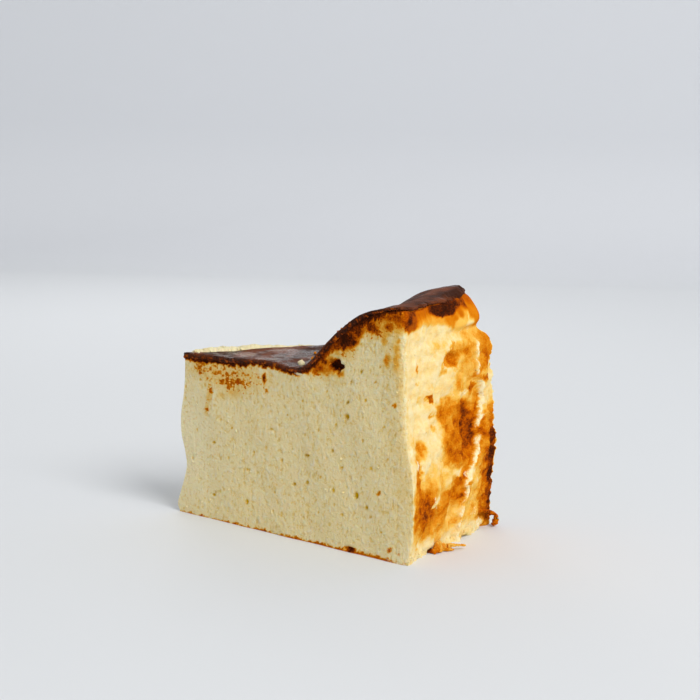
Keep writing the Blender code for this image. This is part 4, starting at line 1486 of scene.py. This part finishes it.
class CHEESECAKE_OT_body(Operator):
    """Make the slice's body with its torn outer side and pores"""

    bl_idname = "cheesecake.body"
    bl_label = "Slice body"

    def execute(self, context):
        material = cream_material(context.scene.cheesecake_bake)
        body = body_piece(material)
        bake_nodes(body, pores_tree(material), context.scene.cheesecake_pores)
        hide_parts(NODE)
        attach(body, "root")
        return {"FINISHED"}


class CHEESECAKE_OT_crust(Operator):
    """Make the burnt crust that lies on the slice"""

    bl_idname = "cheesecake.crust"
    bl_label = "Burnt crust"

    def execute(self, context):
        crust = crust_piece(crust_material(context.scene.cheesecake_bake))
        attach(crust, "root")
        return {"FINISHED"}


class CHEESECAKE_OT_skin_flakes(Operator):
    """Make the flake and the curl of baked skin at the foot"""

    bl_idname = "cheesecake.skin_flakes"
    bl_label = "Skin flakes"

    def execute(self, context):
        material = bpy.data.materials[CREAM]
        for name, rings in SKIN_FLAKES.items():
            knots = [(*outer_place(*ring[:3]), *ring[3:]) for ring in rings]
            flake = swept(name, knots, material)
            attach(flake, "root")
        return {"FINISHED"}


class CHEESECAKE_OT_crumbs(Operator):
    """Strew crumbs over the torn edges, the cuts and the edge of the crust"""

    bl_idname = "cheesecake.crumbs"
    bl_label = "Crumbs"

    def execute(self, context):
        settings = context.scene.cheesecake_crumbs
        for name, piece, slot in (("torn_crumbs", "slice_body", BODY_SLOT),
                                  ("crust_crumbs", "crust_slab", CRUST_SLOT)):
            crumbs = strewn_crumbs(name, bpy.data.objects[piece], settings)
            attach(crumbs, "root")
        loose = loose_crumbs(bpy.data.materials[CREAM])
        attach(loose, "root")
        return {"FINISHED"}


class CHEESECAKE_OT_stage(Operator):
    """Set up the pale floor, the soft light and the camera"""

    bl_idname = "cheesecake.stage"
    bl_label = "Stage"

    def execute(self, context):
        look = context.scene.cheesecake_stage
        floor_piece(floor_material(look))
        key_place = Vector(SLICE_MIDDLE) + Vector(KEY_AIM).normalized() * KEY_DISTANCE
        place_light("key", key_place, (KEY_SIZE, KEY_SIZE), look.key_power, look.key_colour)
        place_light("rim", RIM_PLACE, RIM_SIZE, look.rim_power, look.key_colour)
        light_world(look)
        place_camera()
        return {"FINISHED"}


STEPS = (CHEESECAKE_OT_body, CHEESECAKE_OT_crust, CHEESECAKE_OT_skin_flakes, CHEESECAKE_OT_crumbs,
         CHEESECAKE_OT_stage)
GROUPS = {"cheesecake_bake": CHEESECAKE_PG_bake, "cheesecake_pores": CHEESECAKE_PG_pores,
          "cheesecake_crumbs": CHEESECAKE_PG_crumbs, "cheesecake_stage": CHEESECAKE_PG_stage}


class CHEESECAKE_PT_panel(Panel):
    bl_idname = "CHEESECAKE_PT_panel"
    bl_label = "Cheesecake"
    bl_space_type = "VIEW_3D"
    bl_region_type = "UI"
    bl_category = "Cheesecake"

    def draw(self, context):
        for name in GROUPS:
            box = self.layout.box()
            group = getattr(context.scene, name)
            for prop in group.__annotations__:
                box.prop(group, prop)
        for step in STEPS:
            self.layout.operator(step.bl_idname)


def register():
    for group in GROUPS.values():
        bpy.utils.register_class(group)
    for step in STEPS:
        bpy.utils.register_class(step)
    bpy.utils.register_class(CHEESECAKE_PT_panel)
    for name, group in GROUPS.items():
        setattr(bpy.types.Scene, name, PointerProperty(type=group))


def unregister():
    for name in GROUPS:
        delattr(bpy.types.Scene, name)
    bpy.utils.unregister_class(CHEESECAKE_PT_panel)
    for cls in (*reversed(STEPS), *GROUPS.values()):
        bpy.utils.unregister_class(cls)


def main():
    register()
    bpy.ops.cheesecake.body()
    bpy.ops.cheesecake.crust()
    bpy.ops.cheesecake.skin_flakes()
    bpy.ops.cheesecake.crumbs()
    bpy.ops.cheesecake.stage()


if __name__ == "__main__":
    main()
